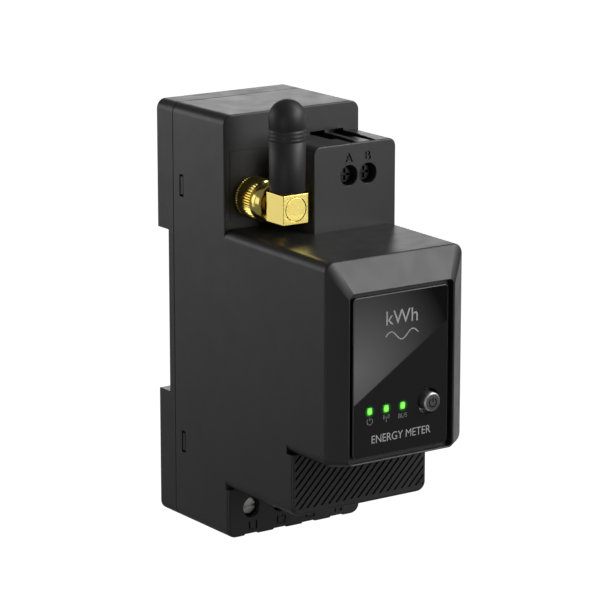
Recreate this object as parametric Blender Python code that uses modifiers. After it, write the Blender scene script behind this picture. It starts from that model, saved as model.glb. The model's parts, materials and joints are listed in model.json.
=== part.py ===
"""Two-module smart electric meter for a 35 mm DIN rail, as an assembly of separate sub-parts.

Frame: metres once built, +Z up, the front faces -Y. The origin is the centre of the rail seat,
the flat face at the back that lies against the rail. All dimensions below are in millimetres.
"""

import math

import bmesh
import bpy
from mathutils import Matrix, Vector

MM = 0.001
GAP = 0.3  # clearance between neighbouring pieces

# Envelope
HALF_WIDTH = 18.0
HALF_HEIGHT = 47.7
REAR_Y = 4.6
SEAM_Y = -2.2
EDGE_RADIUS = 2.2
WALL = 1.7

# Front faces of the stepped body, from the back to the front
UPPER_FRONT_Y = -22.6
BLOCK_BACK_Y = -10.6  # where the blocks that stand out of the housing end inside it
TERMINAL_FRONT_Y = -23.6
SIGNAL_FRONT_Y = -36.4
GRIP_FRONT_Y = -48.5
SHOULDER_Y = -60.4
LIP_Y = -63.4
LIP_CORNER_RADIUS = 1.3
RECESS_CORNER_RADIUS = 1.1

# Heights of the steps
HEAD_TOP_REAR = 22.7
HEAD_TOP_FRONT = 22.1
HEAD_BOTTOM = -22.2
GRIP_BOTTOM = -36.2
SIGNAL_TOP = 41.3
SIGNAL_LEFT = -4.0

# Bezel and face panel
LIP_HALF_WIDTH = 13.93
LIP_TOP = 15.5
LIP_BOTTOM = -21.9
RECESS_HALF_WIDTH = 13.6
RECESS_TOP = 15.2
RECESS_BOTTOM = -21.6
RECESS_FLOOR_Y = -61.9
FACE_WALL_Y = -60.2
PANEL_HALF_WIDTH = 12.5
PANEL_TOP = 14.3
PANEL_BOTTOM = -20.7
PANEL_FRONT_Y = -62.94
PANEL_BACK_Y = -62.2

# Button and status lights
BUTTON_X = 7.43
CONTROL_Z = -10.75
BUTTON_HOLE_RADIUS = 2.85
BUTTON_RADIUS = 2.1
BUTTON_FRONT_Y = -64.5
BUTTON_FLANGE_RADIUS = 3.3
LIGHTS = {"power": -8.11, "radio": -3.77, "bus": 0.57}
LIGHT_WIDTH = 1.4
LIGHT_HEIGHT = 1.6

# DIN rail recess and latch
RECESS_HALF_HEIGHT = 18.7
HOOK_TIP_Z = 16.4
HOOK_INNER_X = 4.0
HOOK_OUTER_X = 12.0
LATCH_TIP_Z = -16.3
RAIL_GAP_Y = 1.3
SEAT_RELIEF_Y = -0.4
CHANNEL_FLOOR_Y = 1.0
LATCH_BOTTOM_Z = -46.9
LATCH_HALF_WIDTH = 6.9
FLANGE_HALF_WIDTH = 8.1
LATCH_WINDOW_TOP = -22.0
LATCH_WINDOW_BOTTOM = -38.0
STOP_TOP_Z = -35.3
STOP_BOTTOM_Z = -37.7
SPRING_CENTRE_Y = 2.5
SPRING_RADIUS = 1.05
SPRING_WIRE_RADIUS = 0.2
SPRING_TURNS = 7

# Snap joints between the housing and its base
SNAP_HEIGHTS = {"upper": 29.6, "lower": -29.3}

# Mains terminals, entered from below and tightened from the front
TERMINALS = {"l1": -11.7, "l2": -3.9, "l3": 3.9, "n": 11.7}
TERMINAL_Z = -41.2
TERMINAL_HOLE_RADIUS = 2.25
TERMINAL_HEAD_Y = -22.2
TERMINAL_ENTRY_HALF = 1.9
CAGE_FRONT_Y = -16.9
CAGE_BACK_Y = -8.6
BUSBAR_FRONT_Y = -14.8

# Signal terminals, entered from above and tightened from the front
SIGNALS = {"a": 5.4, "b": 10.5}
SIGNAL_Z = 34.2
SIGNAL_SLOT_OFFSET = 1.35

# Antenna
ANTENNA_X = -11.0
ANTENNA_Z = 29.2
ELBOW_SIZE = 6.5
ELBOW_FRONT_Y = -39.82
SLEEVE_RADIUS = 4.0
SLEEVE_FOOT_RADIUS = 3.85
SLEEVE_TOP_Z = 52.7
NUT_RADIUS = 4.6
NUT_REAR_Y = -22.9
NUT_FRONT_Y = -32.2

# Circuit boards
MAIN_BOARD_FRONT_Y = -6.4
MAIN_BOARD_BACK_Y = -4.8
COMPONENT_Y = MAIN_BOARD_FRONT_Y - GAP
DISPLAY_BOARD_FRONT_Y = -55.0
DISPLAY_BOARD_BACK_Y = -53.6
BOSS_X = 12.5
BOSS_Z = 42.6
DISPLAY_BOSS_X = 9.6
DISPLAY_BOSS_Z = 10.2

# Facets of the round shapes
FILLET_STEPS = 5
ROUND = 32
SMALL_ROUND = 20

COLOURS = {
    "housing_black": ((0.030, 0.030, 0.031), 0.42, 0.0),
    "base_black": ((0.028, 0.028, 0.029), 0.45, 0.0),
    "panel_gloss": ((0.012, 0.012, 0.013), 0.08, 0.0),
    "button_black": ((0.030, 0.030, 0.030), 0.35, 0.0),
    "light_green": ((0.15, 0.95, 0.10), 0.30, 0.0),
    "antenna_rubber": ((0.022, 0.022, 0.023), 0.50, 0.0),
    "gold_plate": ((0.90, 0.68, 0.26), 0.25, 1.0),
    "screw_steel": ((0.45, 0.45, 0.44), 0.35, 1.0),
    "screw_black": ((0.06, 0.06, 0.06), 0.45, 1.0),
    "tinned_copper": ((0.72, 0.52, 0.36), 0.35, 1.0),
    "spring_steel": ((0.50, 0.50, 0.52), 0.30, 1.0),
    "board_green": ((0.02, 0.16, 0.07), 0.45, 0.0),
    "chip_black": ((0.02, 0.02, 0.022), 0.40, 0.0),
    "ferrite_grey": ((0.09, 0.09, 0.10), 0.60, 0.0),
    "winding_tape": ((0.75, 0.60, 0.12), 0.45, 0.0),
    "capacitor_sleeve": ((0.05, 0.06, 0.16), 0.35, 0.0),
    "varistor_blue": ((0.04, 0.14, 0.45), 0.45, 0.0),
    "fuse_ceramic": ((0.80, 0.78, 0.72), 0.40, 0.0),
    "shield_tin": ((0.62, 0.62, 0.60), 0.30, 1.0),
    "cable_white": ((0.75, 0.75, 0.72), 0.50, 0.0),
    "connector_ivory": ((0.78, 0.75, 0.66), 0.50, 0.0),
    "coax_brown": ((0.20, 0.12, 0.06), 0.45, 0.0),
    "latch_black": ((0.035, 0.035, 0.036), 0.40, 0.0),
}


# Scene set-up


def clear_scene():
    for thing in list(bpy.data.objects):
        bpy.data.objects.remove(thing, do_unlink=True)


def make_collection(name):
    collection = bpy.data.collections.new(name)
    bpy.context.scene.collection.children.link(collection)
    return collection


def make_material(name):
    colour, roughness, metallic = COLOURS[name]
    material = bpy.data.materials.new(name)
    material.use_nodes = True
    shader = material.node_tree.nodes["Principled BSDF"]
    shader.inputs["Base Color"].default_value = (*colour, 1.0)
    shader.inputs["Roughness"].default_value = roughness
    shader.inputs["Metallic"].default_value = metallic
    material.diffuse_color = (*colour, 1.0)
    return material


clear_scene()
PARTS = make_collection("smart_electric_meter")
CUTTERS = make_collection("cutters")
MATERIALS = {name: make_material(name) for name in COLOURS}


# Modelling helpers: sizes go in as millimetres


def link_part(thing, material):
    thing.data.materials.clear()
    thing.data.materials.append(MATERIALS[material])
    PARTS.objects.link(thing)
    return thing


def link_cutter(thing):
    CUTTERS.objects.link(thing)
    thing.hide_render = True
    thing.display_type = "WIRE"
    return thing


def object_from(name, mesh_edit):
    mesh = bpy.data.meshes.new(name)
    bmesh.ops.scale(mesh_edit, vec=(MM, MM, MM), verts=mesh_edit.verts)
    mesh_edit.to_mesh(mesh)
    mesh_edit.free()
    return bpy.data.objects.new(name, mesh)


def smooth(thing, degrees=30.0):
    thing.data.shade_smooth()
    thing.data.set_sharp_from_angle(angle=math.radians(degrees))
    return thing


def add_box(mesh_edit, low, high):
    """Adds a box between two corners and returns its vertices."""
    low = Vector(low)
    high = Vector(high)
    place = Matrix.Translation((low + high) / 2) @ Matrix.Diagonal((*(high - low), 1.0))
    return bmesh.ops.create_cube(mesh_edit, size=1.0, matrix=place)["verts"]


def block(name, low, high, radius=0.0, pick=None, steps=FILLET_STEPS):
    """A box whose picked edges are rounded; pick gets an edge's direction and its middle."""
    mesh_edit = bmesh.new()
    add_box(mesh_edit, low, high)
    if radius:
        edges = []
        for edge in mesh_edit.edges:
            middle = (edge.verts[0].co + edge.verts[1].co) / 2
            direction = (edge.verts[1].co - edge.verts[0].co).normalized()
            if pick is None or pick(direction, middle):
                edges.append(edge)
        bmesh.ops.bevel(
            mesh_edit, geom=edges, offset=radius, segments=steps, profile=0.5, affect="EDGES"
        )
    return smooth(object_from(name, mesh_edit))


def along_y(direction, middle):
    return abs(direction.y) > 0.9


def cylinder(name, radius, start, end, segments=ROUND, end_radius=None):
    """A cylinder or cone from one point to another."""
    start = Vector(start)
    end = Vector(end)
    axis = end - start
    turn = axis.to_track_quat("Z", "Y").to_matrix().to_4x4()
    mesh_edit = bmesh.new()
    bmesh.ops.create_cone(
        mesh_edit,
        cap_ends=True,
        segments=segments,
        radius1=radius,
        radius2=radius if end_radius is None else end_radius,
        depth=axis.length,
        matrix=Matrix.Translation((start + end) / 2) @ turn,
    )
    return smooth(object_from(name, mesh_edit))


def turned(name, profile, centre, axis="Y", segments=ROUND):
    """Spins a profile of (radius, height) points; along Y a greater height lies further forward."""
    mesh = bpy.data.meshes.new(name)
    points = [(radius * MM, 0.0, height * MM) for radius, height in profile]
    mesh.from_pydata(points, [(i, i + 1) for i in range(len(points) - 1)], [])
    thing = bpy.data.objects.new(name, mesh)
    thing.location = Vector(centre) * MM
    if axis == "Y":
        thing.rotation_euler = (math.radians(90.0), 0.0, 0.0)
    screw = thing.modifiers.new("spin", "SCREW")
    screw.angle = math.tau
    screw.steps = segments
    screw.render_steps = segments
    screw.use_merge_vertices = True
    screw.merge_threshold = 0.00001
    screw.use_smooth_shade = True
    return thing


def outline_mesh(name, points, half_depth, place):
    """A flat outline thickened to both sides, as a welded mesh; place carries it into position."""
    curve = bpy.data.curves.new(name, "CURVE")
    curve.dimensions = "2D"
    curve.fill_mode = "BOTH"
    curve.extrude = half_depth * MM
    spline = curve.splines.new("POLY")
    spline.points.add(len(points) - 1)
    for point, (x, y) in zip(spline.points, points):
        point.co = (x * MM, y * MM, 0.0, 1.0)
    spline.use_cyclic_u = True
    guide = bpy.data.objects.new(name + "_outline", curve)
    CUTTERS.objects.link(guide)
    thing = mesh_copy(name, guide)
    thing.data.transform(place)
    return thing


def mesh_copy(name, guide):
    """The mesh of a curve object, with its caps welded on; the curve is removed."""
    bpy.context.view_layer.update()
    evaluated = guide.evaluated_get(bpy.context.evaluated_depsgraph_get())
    mesh = bpy.data.meshes.new_from_object(evaluated)
    mesh_edit = bmesh.new()
    mesh_edit.from_mesh(mesh)
    bmesh.ops.remove_doubles(mesh_edit, verts=mesh_edit.verts, dist=0.000001)
    bmesh.ops.recalc_face_normals(mesh_edit, faces=mesh_edit.faces)
    mesh_edit.to_mesh(mesh)
    mesh_edit.free()
    thing = bpy.data.objects.new(name, mesh)
    thing.matrix_world = guide.matrix_world.copy()
    bpy.data.objects.remove(guide, do_unlink=True)
    return thing


def side_profile(name, points, low_x, high_x):
    """A solid with the same (y, z) outline all the way from low_x to high_x."""
    turn = Matrix(((0, 0, 1, 0), (1, 0, 0, 0), (0, 1, 0, 0), (0, 0, 0, 1)))
    place = Matrix.Translation((0.5 * (low_x + high_x) * MM, 0, 0)) @ turn
    return outline_mesh(name, points, 0.5 * (high_x - low_x), place)


def plan_profile(name, points, low_z, high_z):
    """A solid with the same (x, y) outline all the way from low_z to high_z."""
    place = Matrix.Translation((0, 0, 0.5 * (low_z + high_z) * MM))
    return outline_mesh(name, points, 0.5 * (high_z - low_z), place)


def boolean(target, other, operation):
    if other.name not in CUTTERS.objects:
        link_cutter(other)
    modifier = target.modifiers.new(other.name, "BOOLEAN")
    modifier.operation = operation
    modifier.solver = "EXACT"
    modifier.object = other
    return target


def cut(target, other):
    return boolean(target, other, "DIFFERENCE")


def join(target, other):
    return boolean(target, other, "UNION")


def cut_box(target, name, low, high, radius=0.0, pick=along_y):
    return cut(target, block(name, low, high, radius, pick))


def tube(name, points, radius, material):
    """A round wire through the given points."""
    curve = bpy.data.curves.new(name, "CURVE")
    curve.dimensions = "3D"
    curve.bevel_depth = radius * MM
    curve.bevel_resolution = 2
    curve.use_fill_caps = True
    spline = curve.splines.new("POLY")
    spline.points.add(len(points) - 1)
    for point, place in zip(spline.points, points):
        point.co = (*(Vector(place) * MM), 1.0)
    guide = bpy.data.objects.new(name, curve)
    CUTTERS.objects.link(guide)
    return link_part(smooth(mesh_copy(name + "_mesh", guide), 50.0), material)


def put_origin(thing, point):
    """Moves an object's origin to a point, its mesh staying where it is."""
    shift = Vector(point) * MM
    thing.data.transform(Matrix.Translation(-shift))
    thing.location = shift
    return thing


# Main housing


def rounded_outline(half_width, bottom, top, radius, steps):
    """Points round a rectangle with round corners in the XZ plane, anticlockwise from the front."""
    corners = (
        (half_width, bottom, -90.0),
        (half_width, top, 0.0),
        (-half_width, top, 90.0),
        (-half_width, bottom, 180.0),
    )
    points = []
    for x, z, start in corners:
        centre_x = x - math.copysign(radius, x)
        centre_z = z + radius if z == bottom else z - radius
        for step in range(steps + 1):
            angle = math.radians(start + 90.0 * step / steps)
            points.append((centre_x + radius * math.cos(angle), centre_z + radius * math.sin(angle)))
    return points


def head_block():
    """The protruding head: a drafted block that closes into the bezel's lip."""
    sections = (
        (BLOCK_BACK_Y, HALF_WIDTH, HEAD_BOTTOM, HEAD_TOP_REAR, EDGE_RADIUS),
        (SHOULDER_Y, HALF_WIDTH, HEAD_BOTTOM, HEAD_TOP_FRONT, EDGE_RADIUS),
        (LIP_Y, LIP_HALF_WIDTH, LIP_BOTTOM, LIP_TOP, LIP_CORNER_RADIUS),
    )
    mesh_edit = bmesh.new()
    rings = []
    for y, half_width, bottom, top, radius in sections:
        outline = rounded_outline(half_width, bottom, top, radius, FILLET_STEPS)
        rings.append([mesh_edit.verts.new((x, y, z)) for x, z in outline])
    for rear, front in zip(rings, rings[1:]):
        for i in range(len(rear)):
            j = (i + 1) % len(rear)
            mesh_edit.faces.new((rear[i], front[i], front[j], rear[j]))
    mesh_edit.faces.new(rings[0])
    mesh_edit.faces.new(list(reversed(rings[-1])))
    bmesh.ops.recalc_face_normals(mesh_edit, faces=mesh_edit.faces)
    return smooth(object_from("head_block", mesh_edit))


def housing_outside():
    housing = block(
        "main_housing",
        (-HALF_WIDTH, UPPER_FRONT_Y, -HALF_HEIGHT),
        (HALF_WIDTH, SEAM_Y, HALF_HEIGHT),
        EDGE_RADIUS,
        along_y,
    )

    def lower_edges(direction, middle):
        return along_y(direction, middle) and middle.z < -20.0

    def upper_edges(direction, middle):
        return along_y(direction, middle) and middle.z > 20.0

    terminal_block = block(
        "terminal_block",
        (-HALF_WIDTH, TERMINAL_FRONT_Y, -HALF_HEIGHT),
        (HALF_WIDTH, BLOCK_BACK_Y, -15.0),
        EDGE_RADIUS,
        lower_edges,
    )
    grip_block = block(
        "grip_block",
        (-HALF_WIDTH, GRIP_FRONT_Y, GRIP_BOTTOM),
        (HALF_WIDTH, BLOCK_BACK_Y, -10.0),
        EDGE_RADIUS,
        lower_edges,
    )
    signal_block = block(
        "signal_block",
        (SIGNAL_LEFT, SIGNAL_FRONT_Y, 10.0),
        (HALF_WIDTH, BLOCK_BACK_Y, SIGNAL_TOP),
        1.8,
        upper_edges,
    )
    for piece in (terminal_block, grip_block, head_block(), signal_block):
        join(housing, piece)
    return housing


def cut_housing_cavity(housing):
    inner = HALF_WIDTH - WALL
    open_y = SEAM_Y + 2.0
    front_y = UPPER_FRONT_Y + WALL
    cavities = {
        "core_cavity": ((-inner, front_y, GRIP_BOTTOM + WALL), (inner, open_y, HALF_HEIGHT - WALL)),
        "rear_cavity": ((-inner, -7.0, -HALF_HEIGHT + WALL), (inner, open_y, -30.0)),
        "grip_cavity": ((-inner, GRIP_FRONT_Y + WALL, GRIP_BOTTOM + WALL), (inner, -15.0, 0.0)),
        "head_cavity": ((-inner, -57.5, HEAD_BOTTOM + WALL), (inner, -15.0, HEAD_TOP_FRONT - WALL)),
        "face_cavity": ((-12.3, FACE_WALL_Y, -19.9), (12.3, -50.0, 13.6)),
    }
    for name, (low, high) in cavities.items():
        cut_box(housing, name, low, high)


def cut_bezel(housing):
    cut_box(
        housing,
        "bezel_recess",
        (-RECESS_HALF_WIDTH, LIP_Y - 2.0, RECESS_BOTTOM),
        (RECESS_HALF_WIDTH, RECESS_FLOOR_Y, RECESS_TOP),
        RECESS_CORNER_RADIUS,
    )
    for name, x in LIGHTS.items():
        half_width = LIGHT_WIDTH / 2 + GAP
        half_height = LIGHT_HEIGHT / 2 + GAP
        cut_box(
            housing,
            "light_hole_" + name,
            (x - half_width, LIP_Y, CONTROL_Z - half_height),
            (x + half_width, FACE_WALL_Y + 1.0, CONTROL_Z + half_height),
        )
    button_hole = cylinder(
        "button_hole",
        BUTTON_HOLE_RADIUS,
        (BUTTON_X, LIP_Y, CONTROL_Z),
        (BUTTON_X, FACE_WALL_Y + 1.0, CONTROL_Z),
    )
    cut(housing, button_hole)


def cut_mains_terminals(housing):
    for name, x in TERMINALS.items():
        cut_box(housing, "cage_pocket_" + name, (x - 3.45, -20.9, -45.9), (x + 3.45, -8.3, -33.0))
        cut_box(
            housing,
            "wire_entry_" + name,
            (x - TERMINAL_ENTRY_HALF, -13.9, -HALF_HEIGHT - 1.0),
            (x + TERMINAL_ENTRY_HALF, -9.4, -45.0),
        )
        cut_box(
            housing,
            "wire_channel_" + name,
            (x - TERMINAL_ENTRY_HALF, TERMINAL_FRONT_Y - 1.0, -HALF_HEIGHT - 1.0),
            (x + TERMINAL_ENTRY_HALF, -13.0, -HALF_HEIGHT + 0.45),
        )
        hole = cylinder(
            "terminal_hole_" + name,
            TERMINAL_HOLE_RADIUS,
            (x, TERMINAL_FRONT_Y - 1.0, TERMINAL_Z),
            (x, -20.0, TERMINAL_Z),
        )
        cut(housing, hole)


def signal_slot(name, x):
    """A wire slot in the top of the signal block: narrow at the front, and wide at the back,
    where it runs on through a low notch in the wall of the upper block."""
    rear_y = UPPER_FRONT_Y + 2.1
    points = (
        (x - 2.0, rear_y),
        (x - 2.0, -30.5),
        (x - 0.5, -30.5),
        (x - 0.5, SIGNAL_FRONT_Y + 0.4),
        (x + 0.9, SIGNAL_FRONT_Y + 0.4),
        (x + 1.6, -31.0),
        (x + 1.9, -28.0),
        (x + 1.9, rear_y),
    )
    return plan_profile("signal_slot_" + name, points, 38.0, SIGNAL_TOP + 0.55)


def cut_signal_terminals(housing):
    for name, x in SIGNALS.items():
        cut_box(housing, "signal_pocket_" + name, (x - 2.3, -33.3, 28.4), (x + 2.3, -18.0, 38.2))
        cut(housing, signal_slot(name, x + SIGNAL_SLOT_OFFSET))
        hole = cylinder(
            "signal_hole_" + name,
            TERMINAL_HOLE_RADIUS,
            (x, SIGNAL_FRONT_Y - 1.0, SIGNAL_Z),
            (x, -32.5, SIGNAL_Z),
        )
        cut(housing, hole)


def cut_grip_ribs(housing):
    """Diagonal grooves across the lower step, clipped to a border along its sides."""
    spacing = 1.95
    count = 26
    mesh_edit = bmesh.new()
    tilt = Matrix.Rotation(math.radians(45.0), 4, "Y")
    for i in range(count):
        x = spacing * (i - (count - 1) / 2)
        verts = add_box(mesh_edit, (-0.2, GRIP_FRONT_Y - 1.0, -15.0), (0.2, GRIP_FRONT_Y + 0.4, 15.0))
        place = Matrix.Translation((x, 0.0, (GRIP_BOTTOM + HEAD_BOTTOM) / 2)) @ tilt
        bmesh.ops.transform(mesh_edit, matrix=place, verts=verts)
    grooves = object_from("grip_grooves", mesh_edit)
    field = block(
        "grip_field",
        (-17.2, GRIP_FRONT_Y - 2.0, GRIP_BOTTOM + 1.5),
        (17.2, GRIP_FRONT_Y + 1.0, HEAD_BOTTOM - 0.3),
    )
    link_cutter(grooves)
    boolean(grooves, field, "INTERSECT")
    cut(housing, grooves)


def add_boss(housing, name, x, z, radius, hole_radius, wall_y, tip_y):
    join(housing, cylinder(name, radius, (x, wall_y, z), (x, tip_y, z), SMALL_ROUND))
    hole_end_y = tip_y + 0.65 * (wall_y - tip_y)
    away = math.copysign(1.0, tip_y - wall_y)
    cut(housing, cylinder(name + "_hole", hole_radius, (x, tip_y + away, z), (x, hole_end_y, z), 16))


def main_housing():
    housing = housing_outside()
    cut_housing_cavity(housing)
    for side, x in (("left", -BOSS_X), ("right", BOSS_X)):
        tip_y = MAIN_BOARD_FRONT_Y - GAP
        add_boss(housing, "boss_" + side, x, BOSS_Z, 2.4, 1.1, UPPER_FRONT_Y + 1.0, tip_y)
    for side, x in (("left", -DISPLAY_BOSS_X), ("right", DISPLAY_BOSS_X)):
        tip_y = DISPLAY_BOARD_FRONT_Y - GAP
        add_boss(housing, "face_boss_" + side, x, DISPLAY_BOSS_Z, 1.8, 0.9, FACE_WALL_Y - 0.7, tip_y)
    cut_bezel(housing)
    cut_mains_terminals(housing)
    cut_signal_terminals(housing)
    cut_grip_ribs(housing)
    antenna_hole = cylinder(
        "antenna_hole",
        3.3,
        (ANTENNA_X, UPPER_FRONT_Y - 1.0, ANTENNA_Z),
        (ANTENNA_X, -18.0, ANTENNA_Z),
    )
    cut(housing, antenna_hole)
    for name, z in SNAP_HEIGHTS.items():
        for side in (-1, 1):
            x_low, x_high = sorted((side * 15.0, side * 20.0))
            low = (x_low, -6.3, z - 2.5)
            cut_box(housing, f"snap_window_{name}_{side}", low, (x_high, -4.7, z + 2.5))
    return link_part(housing, "housing_black")


# Rear base and latch


def rear_base():
    front_y = SEAM_Y + GAP
    base = block(
        "rear_base",
        (-HALF_WIDTH, front_y, -HALF_HEIGHT),
        (HALF_WIDTH, REAR_Y, HALF_HEIGHT),
        EDGE_RADIUS,
        along_y,
    )
    rail_recess = block(
        "rail_recess",
        (-HALF_WIDTH - 2.0, 0.0, -RECESS_HALF_HEIGHT),
        (HALF_WIDTH + 2.0, REAR_Y + 2.0, RECESS_HALF_HEIGHT),
    )
    cut(base, rail_recess)
    hook_relief_z = HOOK_TIP_Z - GAP
    latch_relief_z = LATCH_TIP_Z + GAP
    relief_x = HOOK_OUTER_X + 0.6
    cut_box(
        base,
        "hook_relief",
        (-relief_x, SEAT_RELIEF_Y, hook_relief_z),
        (relief_x, CHANNEL_FLOOR_Y, RECESS_HALF_HEIGHT),
    )
    relief_x = LATCH_HALF_WIDTH + 0.4
    cut_box(
        base,
        "latch_relief",
        (-relief_x, SEAT_RELIEF_Y, -RECESS_HALF_HEIGHT),
        (relief_x, CHANNEL_FLOOR_Y, latch_relief_z),
    )
    for side in (-1, 1):
        x_low, x_high = sorted((side * HOOK_INNER_X, side * HOOK_OUTER_X))
        hook_points = (
            (RAIL_GAP_Y, RECESS_HALF_HEIGHT + 1.0),
            (RAIL_GAP_Y, HOOK_TIP_Z + 0.5),
            (RAIL_GAP_Y + 0.6, HOOK_TIP_Z),
            (3.5, HOOK_TIP_Z + 1.2),
            (3.5, RECESS_HALF_HEIGHT + 1.0),
        )
        join(base, side_profile(f"rail_hook_{side}", hook_points, x_low, x_high))
    cut_box(base, "base_pocket", (-14.0, front_y - 1.0, 21.0), (14.0, 2.2, 45.4))
    channel_x = LATCH_HALF_WIDTH + GAP
    groove_x = FLANGE_HALF_WIDTH + GAP
    channel_high = (channel_x, REAR_Y + 1.0, -18.0)
    cut_box(base, "latch_channel", (-channel_x, CHANNEL_FLOOR_Y, -50.0), channel_high)
    cut_box(base, "latch_groove", (-groove_x, CHANNEL_FLOOR_Y, -50.0), (groove_x, 2.4, -18.0))
    stop = block("spring_stop", (-2.0, 0.4, STOP_BOTTOM_Z), (2.0, 3.5, STOP_TOP_Z))
    join(base, stop)
    for name, z in SNAP_HEIGHTS.items():
        for side in (-1, 1):
            add_snap_arm(base, f"snap_arm_{name}_{side}", side, z)
    return link_part(base, "base_black")


def add_snap_arm(base, name, side, z):
    """A springy arm that reaches into the housing; its barb fills the window in the side wall."""
    points = (
        (side * 15.0, SEAM_Y + 1.0),
        (side * 16.0, SEAM_Y + 1.0),
        (side * 16.0, -4.95),
        (side * 17.6, -4.95),
        (side * 17.6, -5.3),
        (side * 16.0, -6.1),
        (side * 15.6, -6.6),
        (side * 15.0, -6.6),
    )
    join(base, plan_profile(name, points, z - 2.0, z + 2.0))


def din_latch():
    profile = (
        (RAIL_GAP_Y, LATCH_BOTTOM_Z),
        (2.6, LATCH_BOTTOM_Z),
        (3.7, LATCH_BOTTOM_Z + 1.1),
        (3.7, LATCH_TIP_Z - 2.2),
        (3.2, LATCH_TIP_Z - 1.0),
        (RAIL_GAP_Y + 0.6, LATCH_TIP_Z),
        (RAIL_GAP_Y, LATCH_TIP_Z - 0.5),
    )
    latch = side_profile("din_latch", profile, -LATCH_HALF_WIDTH, LATCH_HALF_WIDTH)
    flange = block(
        "latch_flange", (-FLANGE_HALF_WIDTH, RAIL_GAP_Y, -46.6), (FLANGE_HALF_WIDTH, 2.1, -19.5)
    )
    join(latch, flange)
    cut_box(latch, "latch_window", (-2.6, 0.0, LATCH_WINDOW_BOTTOM), (2.6, 5.0, LATCH_WINDOW_TOP))
    cut_box(latch, "pull_slot", (-3.0, 0.0, -45.0), (3.0, 5.0, -43.0))
    return link_part(latch, "latch_black")


def latch_spring():
    bottom = STOP_TOP_Z + GAP + SPRING_WIRE_RADIUS
    top = LATCH_WINDOW_TOP - GAP - SPRING_WIRE_RADIUS
    points_per_turn = 10
    count = SPRING_TURNS * points_per_turn
    points = []
    for i in range(count + 1):
        angle = math.tau * i / points_per_turn
        x = SPRING_RADIUS * math.cos(angle)
        y = SPRING_CENTRE_Y + SPRING_RADIUS * math.sin(angle)
        points.append((x, y, bottom + (top - bottom) * i / count))
    spring = tube("latch_spring", points, SPRING_WIRE_RADIUS, "spring_steel")
    spring.name = "latch_spring"
    return spring


# Face panel, button and status lights


def face_panel():
    panel = block(
        "face_panel",
        (-PANEL_HALF_WIDTH, PANEL_FRONT_Y, PANEL_BOTTOM),
        (PANEL_HALF_WIDTH, PANEL_BACK_Y, PANEL_TOP),
        1.0,
        along_y,
    )
    for name, x in LIGHTS.items():
        half_width = LIGHT_WIDTH / 2 + 0.08
        half_height = LIGHT_HEIGHT / 2 + 0.08
        cut_box(
            panel,
            "panel_window_" + name,
            (x - half_width, PANEL_FRONT_Y - 1.0, CONTROL_Z - half_height),
            (x + half_width, PANEL_BACK_Y + 1.0, CONTROL_Z + half_height),
        )
    hole = cylinder(
        "panel_button_hole",
        BUTTON_HOLE_RADIUS,
        (BUTTON_X, PANEL_FRONT_Y - 1.0, CONTROL_Z),
        (BUTTON_X, PANEL_BACK_Y + 1.0, CONTROL_Z),
    )
    cut(panel, hole)
    return link_part(panel, "panel_gloss")


def button_cap():
    """A round cap with a flange that keeps it behind the face wall."""
    front = -BUTTON_FRONT_Y
    flange_front = 59.9
    flange_back = 59.1
    profile = (
        (0.0, front),
        (BUTTON_RADIUS - 0.25, front),
        (BUTTON_RADIUS, front - 0.25),
        (BUTTON_RADIUS, flange_front),
        (BUTTON_FLANGE_RADIUS, flange_front),
        (BUTTON_FLANGE_RADIUS, flange_back),
        (0.0, flange_back),
    )
    return link_part(turned("button_cap", profile, (BUTTON_X, 0.0, CONTROL_Z)), "button_black")


def switch_plunger():
    plunger = cylinder(
        "switch_plunger",
        1.6,
        (BUTTON_X, -58.8, CONTROL_Z),
        (BUTTON_X, -57.0, CONTROL_Z),
        SMALL_ROUND,
    )
    put_origin(plunger, (BUTTON_X, -57.9, CONTROL_Z))
    return link_part(plunger, "connector_ivory")


def tact_switch():
    switch = block(
        "tact_switch",
        (BUTTON_X - 3.0, -57.9, CONTROL_Z - 3.0),
        (BUTTON_X + 3.0, DISPLAY_BOARD_FRONT_Y - GAP, CONTROL_Z + 3.0),
        0.4,
        along_y,
        2,
    )
    hole = cylinder(
        "switch_hole", 1.9, (BUTTON_X, -59.0, CONTROL_Z), (BUTTON_X, -56.2, CONTROL_Z), SMALL_ROUND
    )
    cut(switch, hole)
    return link_part(switch, "chip_black")


def status_light(name, x):
    guide = block(
        "light_guide_" + name,
        (x - LIGHT_WIDTH / 2, PANEL_FRONT_Y, CONTROL_Z - LIGHT_HEIGHT / 2),
        (x + LIGHT_WIDTH / 2, -56.6, CONTROL_Z + LIGHT_HEIGHT / 2),
        0.15,
        along_y,
        2,
    )
    link_part(guide, "light_green")
    led = block(
        "status_led_" + name,
        (x - 0.8, -56.3, CONTROL_Z - 0.5),
        (x + 0.8, DISPLAY_BOARD_FRONT_Y - GAP, CONTROL_Z + 0.5),
    )
    link_part(led, "connector_ivory")


# Boards and what is on them


def board_with_holes(name, low, high, holes, hole_radius):
    board = block(name, low, high, 0.8, along_y, 2)
    for i, (x, z) in enumerate(holes):
        start = (x, low[1] - 1.0, z)
        end = (x, high[1] + 1.0, z)
        cut(board, cylinder(f"{name}_hole_{i}", hole_radius, start, end, 16))
    return link_part(board, "board_green")


def board_screw(name, x, z, head_y, head_radius, shank_radius, length):
    """A pan-head screw driven forward; head_y is the board's side of the head."""
    profile = (
        (0.0, -head_y + length),
        (shank_radius, -head_y + length),
        (shank_radius, -head_y),
        (head_radius, -head_y),
        (head_radius, -head_y - 0.7),
        (head_radius * 0.7, -head_y - 1.1),
        (0.0, -head_y - 1.1),
    )
    return link_part(turned(name, profile, (x, 0.0, z), segments=SMALL_ROUND), "screw_steel")


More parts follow.
